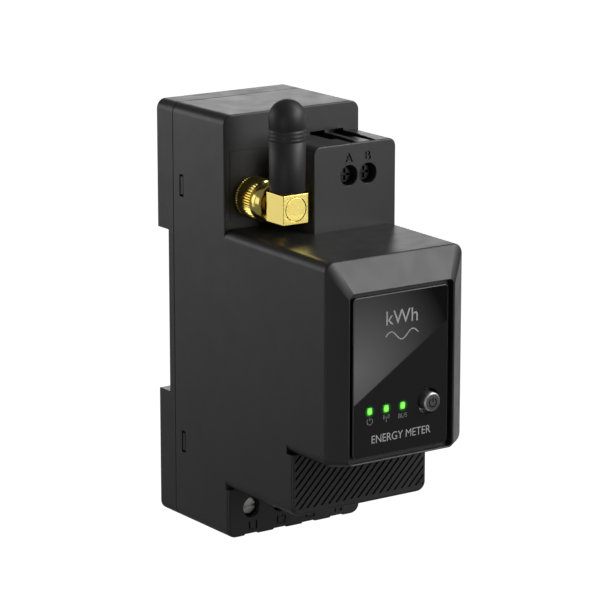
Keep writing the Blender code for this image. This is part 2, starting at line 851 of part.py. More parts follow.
def boards():
    board_with_holes(
        "main_board",
        (-14.4, MAIN_BOARD_FRONT_Y, -35.0),
        (14.4, MAIN_BOARD_BACK_Y, 45.2),
        ((-BOSS_X, BOSS_Z), (BOSS_X, BOSS_Z)),
        1.1,
    )
    board_with_holes(
        "display_board",
        (-11.9, DISPLAY_BOARD_FRONT_Y, -19.4),
        (11.9, DISPLAY_BOARD_BACK_Y, 13.0),
        ((-DISPLAY_BOSS_X, DISPLAY_BOSS_Z), (DISPLAY_BOSS_X, DISPLAY_BOSS_Z)),
        1.0,
    )
    for i, x in enumerate((-BOSS_X, BOSS_X)):
        board_screw(f"main_board_screw_{i + 1}", x, BOSS_Z, MAIN_BOARD_BACK_Y + GAP, 1.8, 0.8, 8.0)
    for i, x in enumerate((-DISPLAY_BOSS_X, DISPLAY_BOSS_X)):
        name = f"display_board_screw_{i + 1}"
        board_screw(name, x, DISPLAY_BOSS_Z, DISPLAY_BOARD_BACK_Y + GAP, 1.5, 0.6, 4.5)


def component(name, low, high, material, radius=0.3):
    return link_part(block(name, low, high, radius, None, 2), material)


def can(name, radius, x, z, length, material):
    """A round component standing on the main board, its top rim rounded."""
    top = -COMPONENT_Y + length
    profile = (
        (0.0, top),
        (radius - 0.4, top),
        (radius, top - 0.4),
        (radius, -COMPONENT_Y),
        (0.0, -COMPONENT_Y),
    )
    return link_part(turned(name, profile, (x, 0.0, z), segments=24), material)


def power_supply():
    core = block("transformer_core", (-13.5, -15.5, -29.5), (-0.8, -8.5, -15.5), 0.4, along_y, 2)
    cut_box(core, "core_window", (-11.4, -17.0, -26.2), (-2.9, -7.0, -18.8))
    link_part(core, "ferrite_grey")
    component("transformer_winding", (-11.1, -17.6, -25.9), (-3.2, COMPONENT_Y, -19.1), "winding_tape")
    can("input_capacitor", 4.0, 5.2, -24.0, 13.0, "capacitor_sleeve")
    can("output_capacitor", 2.9, 10.8, -14.0, 8.0, "capacitor_sleeve")
    fuse = cylinder("input_fuse", 1.7, (11.9, -8.9, -29.5), (11.9, -8.9, -20.5), SMALL_ROUND)
    put_origin(fuse, (11.9, -8.9, -25.0))
    link_part(fuse, "fuse_ceramic")
    can("surge_varistor", 3.3, -9.5, -9.5, 3.2, "varistor_blue")


def electronics():
    component("metering_chip", (-3.5, -8.0, -6.5), (3.5, COMPONENT_Y, 0.5), "chip_black")
    component("bus_transceiver", (8.0, -8.3, 17.5), (12.0, COMPONENT_Y, 22.5), "chip_black")
    component("radio_module", (-6.5, -7.6, 4.0), (6.5, COMPONENT_Y, 24.5), "board_green", 0.2)
    component("radio_shield", (-5.5, -10.2, 5.0), (5.5, -7.9, 18.5), "shield_tin")
    component("main_cable_socket", (-5.2, -9.6, -13.4), (5.2, COMPONENT_Y, -10.6), "connector_ivory")
    socket_low = (-5.2, DISPLAY_BOARD_BACK_Y + GAP, -13.4)
    component("display_cable_socket", socket_low, (5.2, -50.9, -10.6), "connector_ivory")
    component("flat_cable", (-4.8, -50.6, -12.2), (4.8, -9.9, -11.8), "cable_white", 0.1)


def coax_pigtail():
    """The thin coaxial lead from the antenna socket to the radio module."""
    start = Vector((ANTENNA_X, -14.1, ANTENNA_Z))
    leave = Vector((ANTENNA_X, -8.6, ANTENNA_Z))
    arrive = Vector((-3.4, -14.0, 21.6))
    end = Vector((-3.4, -8.0, 21.6))
    count = 22
    points = []
    for i in range(count + 1):
        t = i / count
        s = 1.0 - t
        point = start * s**3 + leave * 3 * s * s * t + arrive * 3 * s * t * t + end * t**3
        points.append(point)
    lead = tube("coax_pigtail", points, 0.55, "coax_brown")
    lead.name = "coax_pigtail"


# Terminals


def slotted_screw(name, x, z, head_y, head_radius, head_height, shank_radius, tip_y, finish, crossed):
    """A screw with a slot in its head, or with two that cross."""
    top = -head_y
    profile = (
        (0.0, top),
        (head_radius - 0.2, top),
        (head_radius, top - 0.2),
        (head_radius, top - head_height),
        (shank_radius, top - head_height),
        (shank_radius, -tip_y),
        (0.0, -tip_y),
    )
    screw = turned(name, profile, (x, 0.0, z), segments=24)
    half_width = 0.3 if crossed else 0.35
    reach = 1.3 if crossed else head_radius + 1.0
    cut_box(
        screw,
        name + "_slot",
        (x - reach, head_y - 1.0, z - half_width),
        (x + reach, head_y + 0.6, z + half_width),
    )
    if crossed:
        cut_box(
            screw,
            name + "_cross",
            (x - half_width, head_y - 1.0, z - reach),
            (x + half_width, head_y + 0.6, z + reach),
        )
    return link_part(screw, finish)


def cage(name, x, z, half_width, half_height, front_y, back_y, wall, hole_radius):
    """A clamp cage: a square sleeve open above and below, with the screw through its front wall."""
    outer = block(
        name, (x - half_width, front_y, z - half_height), (x + half_width, back_y, z + half_height)
    )
    cut_box(
        outer,
        name + "_throat",
        (x - half_width + wall, front_y + wall + 0.2, z - half_height - 1.0),
        (x + half_width - wall, back_y - wall, z + half_height + 1.0),
    )
    hole = cylinder(
        name + "_thread", hole_radius, (x, front_y - 1.0, z), (x, front_y + wall + 1.0, z), 16
    )
    cut(outer, hole)
    put_origin(outer, (x, 0.5 * (front_y + back_y), z))
    return link_part(outer, "tinned_copper")


def contact_strip(name, x, half_width, front_y, thickness, top_z, bottom_z, foot_z):
    """A strip that stands in a clamp cage and bends back to the main board at foot_z."""
    foot_high = foot_z + thickness
    reach_y = COMPONENT_Y
    if foot_z > 0.5 * (top_z + bottom_z):
        points = (
            (front_y, bottom_z),
            (front_y + thickness, bottom_z),
            (front_y + thickness, foot_z),
            (reach_y, foot_z),
            (reach_y, foot_high),
            (front_y, foot_high),
        )
    else:
        points = (
            (front_y, foot_z),
            (reach_y, foot_z),
            (reach_y, foot_high),
            (front_y + thickness, foot_high),
            (front_y + thickness, top_z),
            (front_y, top_z),
        )
    strip = side_profile(name, points, x - half_width, x + half_width)
    return link_part(strip, "tinned_copper")


def mains_terminals():
    for name, x in TERMINALS.items():
        slotted_screw(
            "terminal_screw_" + name,
            x,
            TERMINAL_Z,
            TERMINAL_HEAD_Y,
            1.95,
            1.2,
            1.45,
            -15.1,
            "screw_steel",
            False,
        )
        cage("terminal_cage_" + name, x, TERMINAL_Z, 3.1, 4.0, CAGE_FRONT_Y, CAGE_BACK_Y, 0.8, 1.75)
        contact_strip("busbar_" + name, x, 1.9, BUSBAR_FRONT_Y, 1.0, -33.0, -45.2, -33.9)


def signal_terminals():
    for name, x in SIGNALS.items():
        slotted_screw(
            "signal_screw_" + name, x, SIGNAL_Z, -34.6, 1.85, 1.0, 1.15, -28.9, "screw_black", True
        )
        cage("signal_cage_" + name, x, SIGNAL_Z, 2.0, 3.3, -30.7, -24.3, 0.6, 1.45)
        contact_strip("signal_contact_" + name, x, 1.1, -28.6, 0.7, 37.4, 28.7, 28.7)


# Antenna


def antenna_elbow():
    half = ELBOW_SIZE / 2
    centre_y = ELBOW_FRONT_Y + half
    elbow = block(
        "antenna_elbow",
        (ANTENNA_X - half, ELBOW_FRONT_Y, ANTENNA_Z - half),
        (ANTENNA_X + half, centre_y + half, ANTENNA_Z + half),
        0.2,
        None,
        2,
    )
    rear_y = centre_y + half
    neck_profile = (
        (0.0, -rear_y + 1.0),
        (2.5, -rear_y + 1.0),
        (2.5, 30.05),
        (3.0, 30.05),
        (3.0, 29.5),
        (0.6, 29.5),
        (0.6, 27.2),
        (0.0, 27.2),
    )
    join(elbow, turned("elbow_neck", neck_profile, (ANTENNA_X, 0.0, ANTENNA_Z)))
    top_z = ANTENNA_Z + half
    stub = cylinder(
        "elbow_stub", 2.0, (ANTENNA_X, centre_y, top_z - 1.0), (ANTENNA_X, centre_y, top_z + 3.0)
    )
    join(elbow, stub)
    recess = cylinder(
        "elbow_cap_recess",
        2.72,
        (ANTENNA_X, ELBOW_FRONT_Y - 1.0, ANTENNA_Z),
        (ANTENNA_X, ELBOW_FRONT_Y + 0.8, ANTENNA_Z),
    )
    cut(elbow, recess)
    link_part(elbow, "gold_plate")
    put_origin(elbow, (ANTENNA_X, 0.0, ANTENNA_Z))
    cap = cylinder(
        "elbow_cap",
        2.6,
        (ANTENNA_X, ELBOW_FRONT_Y + 0.02, ANTENNA_Z),
        (ANTENNA_X, ELBOW_FRONT_Y + 0.55, ANTENNA_Z),
    )
    link_part(cap, "gold_plate")
    put_origin(cap, (ANTENNA_X, 0.0, ANTENNA_Z))
    return centre_y


def antenna_sleeve(centre_y):
    """The rubber sleeve: domed, with two fine grooves, and hollow from below."""
    bottom = ANTENNA_Z + ELBOW_SIZE / 2 + GAP
    dome_steps = 8
    shoulder = SLEEVE_TOP_Z - SLEEVE_RADIUS
    profile = []
    for i in range(dome_steps + 1):
        angle = math.radians(90.0 - 90.0 * i / dome_steps)
        height = shoulder + SLEEVE_RADIUS * math.sin(angle)
        profile.append((SLEEVE_RADIUS * math.cos(angle), height))
    profile[0] = (0.0, SLEEVE_TOP_Z)
    for groove_z in (46.2, 43.7):
        profile.append((SLEEVE_RADIUS, groove_z + 0.2))
        profile.append((SLEEVE_RADIUS - 0.15, groove_z))
        profile.append((SLEEVE_RADIUS, groove_z - 0.2))
    profile += [
        (SLEEVE_FOOT_RADIUS, bottom),
        (2.3, bottom),
        (2.3, bottom + 3.4),
        (1.6, bottom + 3.4),
        (1.6, 48.5),
        (0.0, 48.5),
    ]
    sleeve = turned("antenna_sleeve", profile, (ANTENNA_X, centre_y, 0.0), axis="Z")
    link_part(sleeve, "antenna_rubber")
    element = cylinder(
        "antenna_element",
        1.3,
        (ANTENNA_X, centre_y, bottom + 3.0),
        (ANTENNA_X, centre_y, 48.2),
        SMALL_ROUND,
    )
    put_origin(element, (ANTENNA_X, centre_y, ANTENNA_Z))
    link_part(element, "tinned_copper")


def coupling_nut():
    profile = (
        (2.85, -NUT_FRONT_Y),
        (NUT_RADIUS - 0.6, -NUT_FRONT_Y),
        (NUT_RADIUS - 0.15, -NUT_FRONT_Y - 0.5),
        (NUT_RADIUS - 0.15, 29.3),
        (NUT_RADIUS - 0.5, 29.2),
        (NUT_RADIUS - 0.5, 28.8),
        (NUT_RADIUS, 28.7),
        (NUT_RADIUS, -NUT_REAR_Y + 0.4),
        (NUT_RADIUS - 0.4, -NUT_REAR_Y),
        (3.3, -NUT_REAR_Y),
        (3.3, 30.35),
        (2.85, 30.35),
        (2.85, -NUT_FRONT_Y),
    )
    link_part(turned("coupling_nut", profile, (ANTENNA_X, 0.0, ANTENNA_Z)), "gold_plate")


def antenna_socket():
    profile = (
        (0.0, 26.2),
        (1.1, 26.2),
        (1.1, 29.0),
        (3.0, 29.0),
        (3.0, 19.5),
        (4.4, 19.5),
        (4.4, 17.5),
        (1.6, 17.5),
        (1.6, 14.4),
        (0.0, 14.4),
    )
    link_part(turned("antenna_socket", profile, (ANTENNA_X, 0.0, ANTENNA_Z)), "gold_plate")
    washer_profile = ((3.3, 20.5), (4.6, 20.5), (4.6, 19.8), (3.3, 19.8), (3.3, 20.5))
    washer = turned("socket_washer", washer_profile, (ANTENNA_X, 0.0, ANTENNA_Z), segments=24)
    link_part(washer, "spring_steel")


def build():
    main_housing()
    rear_base()
    din_latch()
    latch_spring()
    face_panel()
    button_cap()
    switch_plunger()
    tact_switch()
    for name, x in LIGHTS.items():
        status_light(name, x)
    boards()
    power_supply()
    electronics()
    coax_pigtail()
    mains_terminals()
    signal_terminals()
    centre_y = antenna_elbow()
    antenna_sleeve(centre_y)
    coupling_nut()
    antenna_socket()


build()
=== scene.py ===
"""Looks of the two-module smart electric meter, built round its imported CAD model.

Lengths are in millimetres in the CAD's frame: +Z up, the front faces -Y, and the origin is the
centre of the rail seat at the back. MM turns them into metres.
"""

import json
import math

import bmesh
import bpy
from mathutils import Matrix, Vector


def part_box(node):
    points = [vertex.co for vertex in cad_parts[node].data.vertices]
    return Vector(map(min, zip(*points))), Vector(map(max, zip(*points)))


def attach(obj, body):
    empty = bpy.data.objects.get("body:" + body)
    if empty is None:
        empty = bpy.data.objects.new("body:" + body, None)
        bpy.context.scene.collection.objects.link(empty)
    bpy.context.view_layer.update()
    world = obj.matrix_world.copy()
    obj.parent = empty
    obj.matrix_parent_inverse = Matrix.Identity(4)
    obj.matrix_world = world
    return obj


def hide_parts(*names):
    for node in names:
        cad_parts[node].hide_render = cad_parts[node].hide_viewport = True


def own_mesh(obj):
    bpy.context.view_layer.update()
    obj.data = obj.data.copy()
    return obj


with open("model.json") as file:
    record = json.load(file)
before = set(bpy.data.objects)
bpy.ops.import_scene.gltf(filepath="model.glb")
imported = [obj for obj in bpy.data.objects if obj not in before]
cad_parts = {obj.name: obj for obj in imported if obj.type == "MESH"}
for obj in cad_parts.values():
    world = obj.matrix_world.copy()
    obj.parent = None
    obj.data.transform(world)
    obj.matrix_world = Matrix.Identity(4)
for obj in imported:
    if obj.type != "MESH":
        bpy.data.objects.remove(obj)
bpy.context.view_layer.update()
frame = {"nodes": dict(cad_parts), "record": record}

MM = 0.001


def corners(node):
    """A CAD node's lowest and highest corners in millimetres."""
    low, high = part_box(node)
    return low / MM, high / MM


# Sizes read from the frame
HOUSING_LOW, HOUSING_HIGH = corners("main_housing")
_, BASE_HIGH = corners("rear_base")
LATCH_LOW, LATCH_HIGH = corners("din_latch")
SPRING_LOW, SPRING_HIGH = corners("latch_spring")
PANEL_LOW, PANEL_HIGH = corners("face_panel")
CAP_LOW, CAP_HIGH = corners("button_cap")
NUT_LOW, NUT_HIGH = corners("coupling_nut")
ELBOW_LOW, ELBOW_HIGH = corners("antenna_elbow")
SLEEVE_LOW, SLEEVE_HIGH = corners("antenna_sleeve")
HALF_WIDTH = HOUSING_HIGH.x
HALF_HEIGHT = HOUSING_HIGH.z
LIP_Y = HOUSING_LOW.y
BUTTON_X = (CAP_LOW.x + CAP_HIGH.x) / 2
CONTROL_Z = (CAP_LOW.z + CAP_HIGH.z) / 2
ANTENNA_X = (NUT_LOW.x + NUT_HIGH.x) / 2
ANTENNA_Z = (NUT_LOW.z + NUT_HIGH.z) / 2
SLEEVE_Y = (SLEEVE_LOW.y + SLEEVE_HIGH.y) / 2

# Steps of the housing, as in the CAD
EDGE_RADIUS = 2.2
WALL = 1.7
INSIDE_Y = -10.6
UPPER_FRONT_Y = -22.6
TERMINAL_FRONT_Y = -23.6
SIGNAL_FRONT_Y = -36.4
GRIP_FRONT_Y = -48.5
SHOULDER_Y = -60.4
HEAD_TOP_REAR = 22.7
HEAD_TOP_FRONT = 22.1
HEAD_BOTTOM = -22.2
GRIP_BOTTOM = -36.2
SIGNAL_TOP = 41.3
SIGNAL_LEFT = -4.0
LIP_HALF_WIDTH = 13.93
LIP_TOP = 15.5
LIP_BOTTOM = -21.9
LIP_CORNER_RADIUS = 1.3
RECESS_CORNER_RADIUS = 1.1
RECESS_FLOOR_Y = -61.9
FACE_WALL_Y = -60.2

# Rail side
SEAT_RELIEF_Y = -0.4
RECESS_HALF_HEIGHT = 18.7
HOOK_TIP_Z = 16.4
RAIL_GAP_Y = 1.3
CHANNEL_FLOOR_Y = 1.0
SNAP_WINDOWS = (29.6, -29.3)

# Terminals, controls and fine detail
TERMINALS = ("l1", "l2", "l3", "n")
SIGNALS = ("a", "b")
LIGHTS = ("power", "radio", "bus")
HOLE_RADIUS = 2.25
BUTTON_HOLE_RADIUS = 2.85
GAP = 0.3
SEAM = 0.14
RIM = 0.35
STEP_RIM = 0.65
FINE_RIM = 0.12
PAST = 1.0  # how far a cutter reaches beyond the face it opens
CORNER_STEPS = 12
RIM_STEPS = 4
ROUND = 72
PRINT_HEIGHT = 0.012

# Faces that meet at less than this many degrees are shaded as one surface
SMOOTH_ANGLE = 35.0
FLAT_ANGLE = 8.0
THREAD_ANGLE = 25.0
KNURL_ANGLE = 28.0
ROUND_ANGLE = 50.0


# Modelling helpers


def add_to_scene(name, data):
    thing = bpy.data.objects.new(name, data)
    bpy.context.scene.collection.objects.link(thing)
    return thing


def to_object(name, edit, angle=SMOOTH_ANGLE):
    """Turns a bmesh in millimetres into a smooth-shaded object in metres."""
    bmesh.ops.recalc_face_normals(edit, faces=edit.faces)
    bmesh.ops.scale(edit, vec=(MM, MM, MM), verts=edit.verts)
    mesh = bpy.data.meshes.new(name)
    edit.to_mesh(mesh)
    edit.free()
    return shade(add_to_scene(name, mesh), angle)


def shade(thing, angle=SMOOTH_ANGLE):
    thing.data.shade_smooth()
    thing.data.set_sharp_from_angle(angle=math.radians(angle))
    return thing


def loft(name, rings, loop=False, angle=SMOOTH_ANGLE):
    """Faces between rings of points; the ends are capped, or joined to each other in a loop."""
    edit = bmesh.new()
    made = [[edit.verts.new(point) for point in ring] for ring in rings]
    pairs = list(zip(made, made[1:]))
    if loop:
        pairs.append((made[-1], made[0]))
    for first, second in pairs:
        for i in range(len(first)):
            j = (i + 1) % len(first)
            edit.faces.new((first[i], second[i], second[j], first[j]))
    if not loop:
        edit.faces.new(made[0])
        edit.faces.new(list(reversed(made[-1])))
    return to_object(name, edit, angle)


def rounded_rectangle(low_x, high_x, low_z, high_z, radius, steps=CORNER_STEPS):
    """Points (x, z) round a rectangle with round corners."""
    centres = (
        (high_x - radius, low_z + radius, -90.0),
        (high_x - radius, high_z - radius, 0.0),
        (low_x + radius, high_z - radius, 90.0),
        (low_x + radius, low_z + radius, 180.0),
    )
    points = []
    for x, z, start in centres:
        for step in range(steps + 1):
            angle = math.radians(start + 90.0 * step / steps)
            points.append((x + radius * math.cos(angle), z + radius * math.sin(angle)))
    return points


def rim_sections(end_y, rim, inward):
    """(y, inset) pairs round a rim, from the end face to the straight wall."""
    if not rim:
        return [(end_y, 0.0)]
    sections = []
    for step in range(RIM_STEPS + 1):
        angle = math.radians(90.0 * step / RIM_STEPS)
        sections.append((end_y + inward * rim * (1 - math.cos(angle)), rim * (1 - math.sin(angle))))
    return sections


def prism(name, low, high, radius, front_rim=0.0, rear_rim=0.0, steps=CORNER_STEPS):
    """A block with round edges along Y and rounded rims on its front and rear faces."""
    sections = rim_sections(low[1], front_rim, 1) + rim_sections(high[1], rear_rim, -1)[::-1]
    rings = []
    for y, inset in sections:
        outline = rounded_rectangle(
            low[0] + inset,
            high[0] - inset,
            low[2] + inset,
            high[2] - inset,
            max(radius - inset, 0.02),
            steps,
        )
        rings.append([(x, y, z) for x, z in outline])
    return loft(name, rings)


def add_box(edit, low, high):
    low, high = Vector(low), Vector(high)
    size = Matrix.Diagonal((*(high - low), 1.0))
    bmesh.ops.create_cube(edit, size=1.0, matrix=Matrix.Translation((low + high) / 2) @ size)


def boxes(name, pairs):
    """Several boxes in one mesh, each between two corners."""
    edit = bmesh.new()
    for low, high in pairs:
        add_box(edit, low, high)
    return to_object(name, edit)


def box(name, low, high):
    return boxes(name, [(low, high)])


def rounded_box(name, low, high, radius):
    edit = bmesh.new()
    add_box(edit, low, high)
    edges = list(edit.edges)
    bmesh.ops.bevel(edit, geom=edges, offset=radius, segments=3, profile=0.5, affect="EDGES")
    return to_object(name, edit)


def softened(profile, radius, steps=4):
    """Rounds the inner corners of a profile of (radius, height) points."""
    points = [Vector(point) for point in profile]
    soft = [points[0]]
    for before, corner, after in zip(points, points[1:], points[2:]):
        reach = min(radius, (before - corner).length * 0.45, (after - corner).length * 0.45)
        start = corner + (before - corner).normalized() * reach
        end = corner + (after - corner).normalized() * reach
        for step in range(steps + 1):
            t = step / steps
            soft.append(start * (1 - t) ** 2 + corner * 2 * t * (1 - t) + end * t**2)
    soft.append(points[-1])
    return [tuple(point) for point in soft]


def turned(
    name,
    profile,
    centre,
    axis="Y",
    segments=ROUND,
    ripple=None,
    loop=False,
    angle=SMOOTH_ANGLE,
):
    """Turns (radius, height) points round an axis through centre; along Y, height runs forward.

    ripple(radius, height, segment) gives a changed radius, and a loop profile makes a ring.
    """
    rings = []
    for radius, height in profile:
        ring = []
        for segment in range(segments):
            turn = math.tau * segment / segments
            reach = ripple(radius, height, segment) if ripple else max(radius, 0.001)
            side, up = reach * math.cos(turn), reach * math.sin(turn)
            ring.append((side, -height, up) if axis == "Y" else (side, up, height))
        rings.append(ring)
    thing = loft(name, rings, loop, angle)
    thing.location = Vector(centre) * MM
    return thing


def cylinder(name, radius, centre, low_y, high_y, segments=ROUND):
    profile = [(radius, -high_y), (radius, -low_y)]
    return turned(name, profile, (centre[0], 0.0, centre[1]), segments=segments)


def extruded(name, points, low, high, axis):
    """A flat outline carried from low to high: (y, z) points along X, or (x, y) points along Z."""
    rings = []
    for along in (low, high):
        rings.append([(along, a, b) if axis == "X" else (a, b, along) for a, b in points])
    return loft(name, rings)


def boolean(target, operation, *others):
    for other in others:
        modifier = target.modifiers.new(other.name, "BOOLEAN")
        modifier.operation = operation
        modifier.solver = "EXACT"
        modifier.object = other
        other.hide_render = True
    return target


def cut(target, *others):
    return boolean(target, "DIFFERENCE", *others)


def join(target, *others):
    return boolean(target, "UNION", *others)


def evaluated_mesh(thing):
    bpy.context.view_layer.update()
    depsgraph = bpy.context.evaluated_depsgraph_get()
    return bpy.data.meshes.new_from_object(thing.evaluated_get(depsgraph))


def bake(thing, angle=SMOOTH_ANGLE):
    """Applies the Booleans, removes what they used and any slivers, and levels the shading."""
    others = [modifier.object for modifier in thing.modifiers if modifier.type == "BOOLEAN"]
    mesh = evaluated_mesh(thing)
    thing.modifiers.clear()
    edit = bmesh.new()
    edit.from_mesh(mesh)
    bmesh.ops.dissolve_degenerate(edit, dist=0.0005 * MM, edges=edit.edges)
    edit.to_mesh(mesh)
    edit.free()
    thing.data = mesh
    for other in others:
        bpy.data.objects.remove(other, do_unlink=True)
    shade(thing, angle)
    level_shading(thing)
    return thing


def level_shading(thing):
    thing.modifiers.new("level", "WEIGHTED_NORMAL").keep_sharp = True


def mesh_from_curve(name, curve):
    """The closed mesh of a curve or text, in place of it."""
    guide = add_to_scene(name, curve)
    mesh = evaluated_mesh(guide)
    bpy.data.objects.remove(guide, do_unlink=True)
    edit = bmesh.new()
    edit.from_mesh(mesh)
    bmesh.ops.remove_doubles(edit, verts=edit.verts, dist=0.000001)
    bmesh.ops.recalc_face_normals(edit, faces=edit.faces)
    edit.to_mesh(mesh)
    edit.free()
    return add_to_scene(name, mesh)


def lettering(name, words, centre, height, front_y, depth, width=None):
    """Words that face -Y, as tall as height, from front_y to depth behind it."""
    text = bpy.data.curves.new(name, "FONT")
    text.body = words
    text.extrude = 0.5
    thing = mesh_from_curve(name, text)
    low = Vector(min(v.co[i] for v in thing.data.vertices) for i in range(3))
    high = Vector(max(v.co[i] for v in thing.data.vertices) for i in range(3))
    tall = height * MM / (high.y - low.y)
    wide = width * MM / (high.x - low.x) if width else tall
    middle = Matrix.Translation(-(low + high) / 2)
    size = Matrix.Diagonal((wide, tall, depth * MM, 1.0))
    place = Matrix.Translation(Vector((centre[0], front_y + depth / 2, centre[1])) * MM)
    thing.data.transform(place @ Matrix.Rotation(math.radians(90.0), 4, "X") @ size @ middle)
    return thing


def stroke(edit, points, width, front_y):
    """Adds a flat line of the given width through (x, z) points, PRINT_HEIGHT thick."""
    sides = []
    for i, point in enumerate(points):
        before = Vector(points[max(i - 1, 0)])
        after = Vector(points[min(i + 1, len(points) - 1)])
        along = (after - before).normalized()
        across = Vector((-along.y, along.x)) * width / 2
        sides.append((Vector(point) + across, Vector(point) - across))
    front = [[edit.verts.new((p.x, front_y, p.y)) for p in pair] for pair in sides]
    back = [[edit.verts.new((p.x, front_y + PRINT_HEIGHT, p.y)) for p in pair] for pair in sides]
    for i in range(len(points) - 1):
        for rows, first, second in ((front, 0, 1), (back, 1, 0)):
            here, ahead = rows[i], rows[i + 1]
            edit.faces.new((here[first], here[second], ahead[second], ahead[first]))
        for edge in (0, 1):
            edit.faces.new((front[i][edge], front[i + 1][edge], back[i + 1][edge], back[i][edge]))
    for i in (0, len(points) - 1):
        edit.faces.new((front[i][0], front[i][1], back[i][1], back[i][0]))


def arc(centre, radius, start, end, steps=20):
    points = []
    for step in range(steps + 1):
        angle = math.radians(start + (end - start) * step / steps)
        points.append((centre[0] + radius * math.cos(angle), centre[1] + radius * math.sin(angle)))
    return points


def printed(name, lines, width, front_y):
    edit = bmesh.new()
    for line in lines:
        stroke(edit, line, width, front_y)
    return to_object(name, edit)


def centre_of(node):
    """(x, z) of a CAD node's middle."""
    low, high = corners(node)
    return (low.x + high.x) / 2, (low.z + high.z) / 2


# Materials

# Noise seldom leaves this range
NOISE_LOW = 0.3
NOISE_HIGH = 0.7


def link(tree, source, output, target, socket):
    tree.links.new(source.outputs[output], target.inputs[socket])


def noise(tree, coordinates, scale, detail=3.0):
    node = tree.nodes.new("ShaderNodeTexNoise")
    node.inputs["Scale"].default_value = scale
    node.inputs["Detail"].default_value = detail
    link(tree, coordinates, "Object", node, "Vector")
    return node


def spread(tree, source, output, low, high):
    node = tree.nodes.new("ShaderNodeMapRange")
    node.inputs["From Min"].default_value = NOISE_LOW
    node.inputs["From Max"].default_value = NOISE_HIGH
    node.inputs["To Min"].default_value = low
    node.inputs["To Max"].default_value = high
    link(tree, source, output, node, "Value")
    return node


def ramp(tree, source, output, low, high, target, socket, blend="LINEAR"):
    """Colours a socket by a texture's output, between two (position, colour) stops."""
    node = tree.nodes.new("ShaderNodeValToRGB")
    node.color_ramp.interpolation = blend
    for element, (position, colour) in zip(node.color_ramp.elements, (low, high)):
        element.position = position
        element.color = (*colour, 1.0)
    link(tree, source, output, node, "Fac")
    link(tree, node, "Color", target, socket)


def relief(tree, source, strength, depth):
    """Bumps the material by a texture's Fac, as deep as depth in millimetres."""
    bump = tree.nodes.new("ShaderNodeBump")
    bump.inputs["Strength"].default_value = strength
    bump.inputs["Distance"].default_value = depth * MM
    link(tree, source, "Fac", bump, "Height")
    link(tree, bump, "Normal", tree.nodes["Principled BSDF"], "Normal")


def spot(tree, coordinates, scale, location=(0.0, 0.0, 0.0)):
    """A gradient that falls from 1 in the middle of a spot to 0 round it."""
    place = tree.nodes.new("ShaderNodeMapping")
    place.inputs["Scale"].default_value = scale
    place.inputs["Location"].default_value = location
    glow = tree.nodes.new("ShaderNodeTexGradient")
    glow.gradient_type = "SPHERICAL"
    link(tree, coordinates, "Object", place, "Vector")
    link(tree, place, "Vector", glow, "Vector")
    return glow


def surface(
    name, colour, roughness, metallic=0.0, grain=0.0, grain_scale=2600.0, vary=0.12, **sockets
):
    """A finish with fine grain as bump and slow changes of colour and roughness."""
    material = bpy.data.materials.new(name)
    material.use_nodes = True
    tree = material.node_tree
    shader = tree.nodes["Principled BSDF"]
    shader.inputs["Metallic"].default_value = metallic
    for socket, value in sockets.items():
        shader.inputs[socket.replace("_", " ")].default_value = value
    coordinates = tree.nodes.new("ShaderNodeTexCoord")
    slow = noise(tree, coordinates, 90.0)
    darker = tuple(c * (1 - vary) for c in colour)
    paler = tuple(min(c * (1 + vary), 1.0) for c in colour)
    ramp(tree, slow, "Fac", (NOISE_LOW, darker), (NOISE_HIGH, paler), shader, "Base Color")
    rough = spread(tree, noise(tree, coordinates, 260.0), "Fac", roughness * 0.92, roughness * 1.08)
    link(tree, rough, "Result", shader, "Roughness")
    if grain:
        relief(tree, noise(tree, coordinates, grain_scale, 2.0), grain, 0.03)
    return material


def make_materials():
    made = {}

    def add(name, *finish, make=surface, **more):
        made[name] = make(name, *finish, **more)

    add("housing_black", (0.016, 0.016, 0.0157), 0.40, grain=0.35)
    add("base_black", (0.014, 0.014, 0.0138), 0.42, grain=0.35)
    add("latch_black", (0.020, 0.020, 0.020), 0.36, grain=0.2)
    add("mark_black", (0.002, 0.002, 0.002), 0.6, Specular_IOR_Level=0.1)
    add("panel_gloss", (0.0065, 0.0065, 0.007), 0.012, vary=0.05, IOR=1.52)
    # panel_edge: rougher grey for the panel's bevelled rim, paler than the glass as a painted
    # highlight of its thin bright edge line
    add("panel_edge", (0.085, 0.085, 0.087), 0.38)
    add("button_black", (0.055, 0.055, 0.056), 0.42, grain=0.1)
    add("button_rim", (0.60, 0.60, 0.61), 0.42, 1.0)
    add("print_grey", (0.36, 0.36, 0.36), 0.55)
    add("print_dim", (0.16, 0.16, 0.16), 0.55)
    add("antenna_rubber", (0.014, 0.014, 0.0145), 0.50, grain=0.25)
    add("gold_plate", (0.87, 0.70, 0.205), 0.16, 1.0, grain=0.04, vary=0.03)
    add("screw_steel", (0.50, 0.50, 0.49), 0.36, make=turned_metal)
    # Near-black turned steel for the signal screws: partly a black-zinc finish, partly painted
    # shade of their deep holes
    add("screw_black", (0.035, 0.035, 0.036), 0.42, make=turned_metal)
    add("tinned_copper", (0.66, 0.56, 0.46), 0.38, 1.0, grain=0.1)
    add("spring_steel", (0.55, 0.55, 0.57), 0.26, 1.0, grain=0.05)
    add("board_green", make=board_finish)
    add("chip_black", (0.018, 0.018, 0.02), 0.5, grain=0.5, grain_scale=5200.0)
    add("ferrite_grey", (0.07, 0.07, 0.075), 0.62, grain=0.6)
    add("winding_tape", (0.78, 0.55, 0.05), 0.34, grain=0.1)
    add("capacitor_sleeve", (0.02, 0.03, 0.10), 0.30, vary=0.2)
    add("varistor_blue", (0.02, 0.10, 0.42), 0.42, grain=0.3)
    add("fuse_ceramic", (0.78, 0.76, 0.70), 0.35, grain=0.1)
    add("shield_tin", (0.70, 0.70, 0.68), 0.30, 1.0, grain=0.15)
    add("cable_white", (0.72, 0.72, 0.69), 0.48, grain=0.2)
    add("connector_ivory", (0.74, 0.70, 0.58), 0.44, grain=0.2)
    add("coax_brown", (0.13, 0.06, 0.03), 0.34, grain=0.1)
    add("light_green", make=light_finish)
    return made


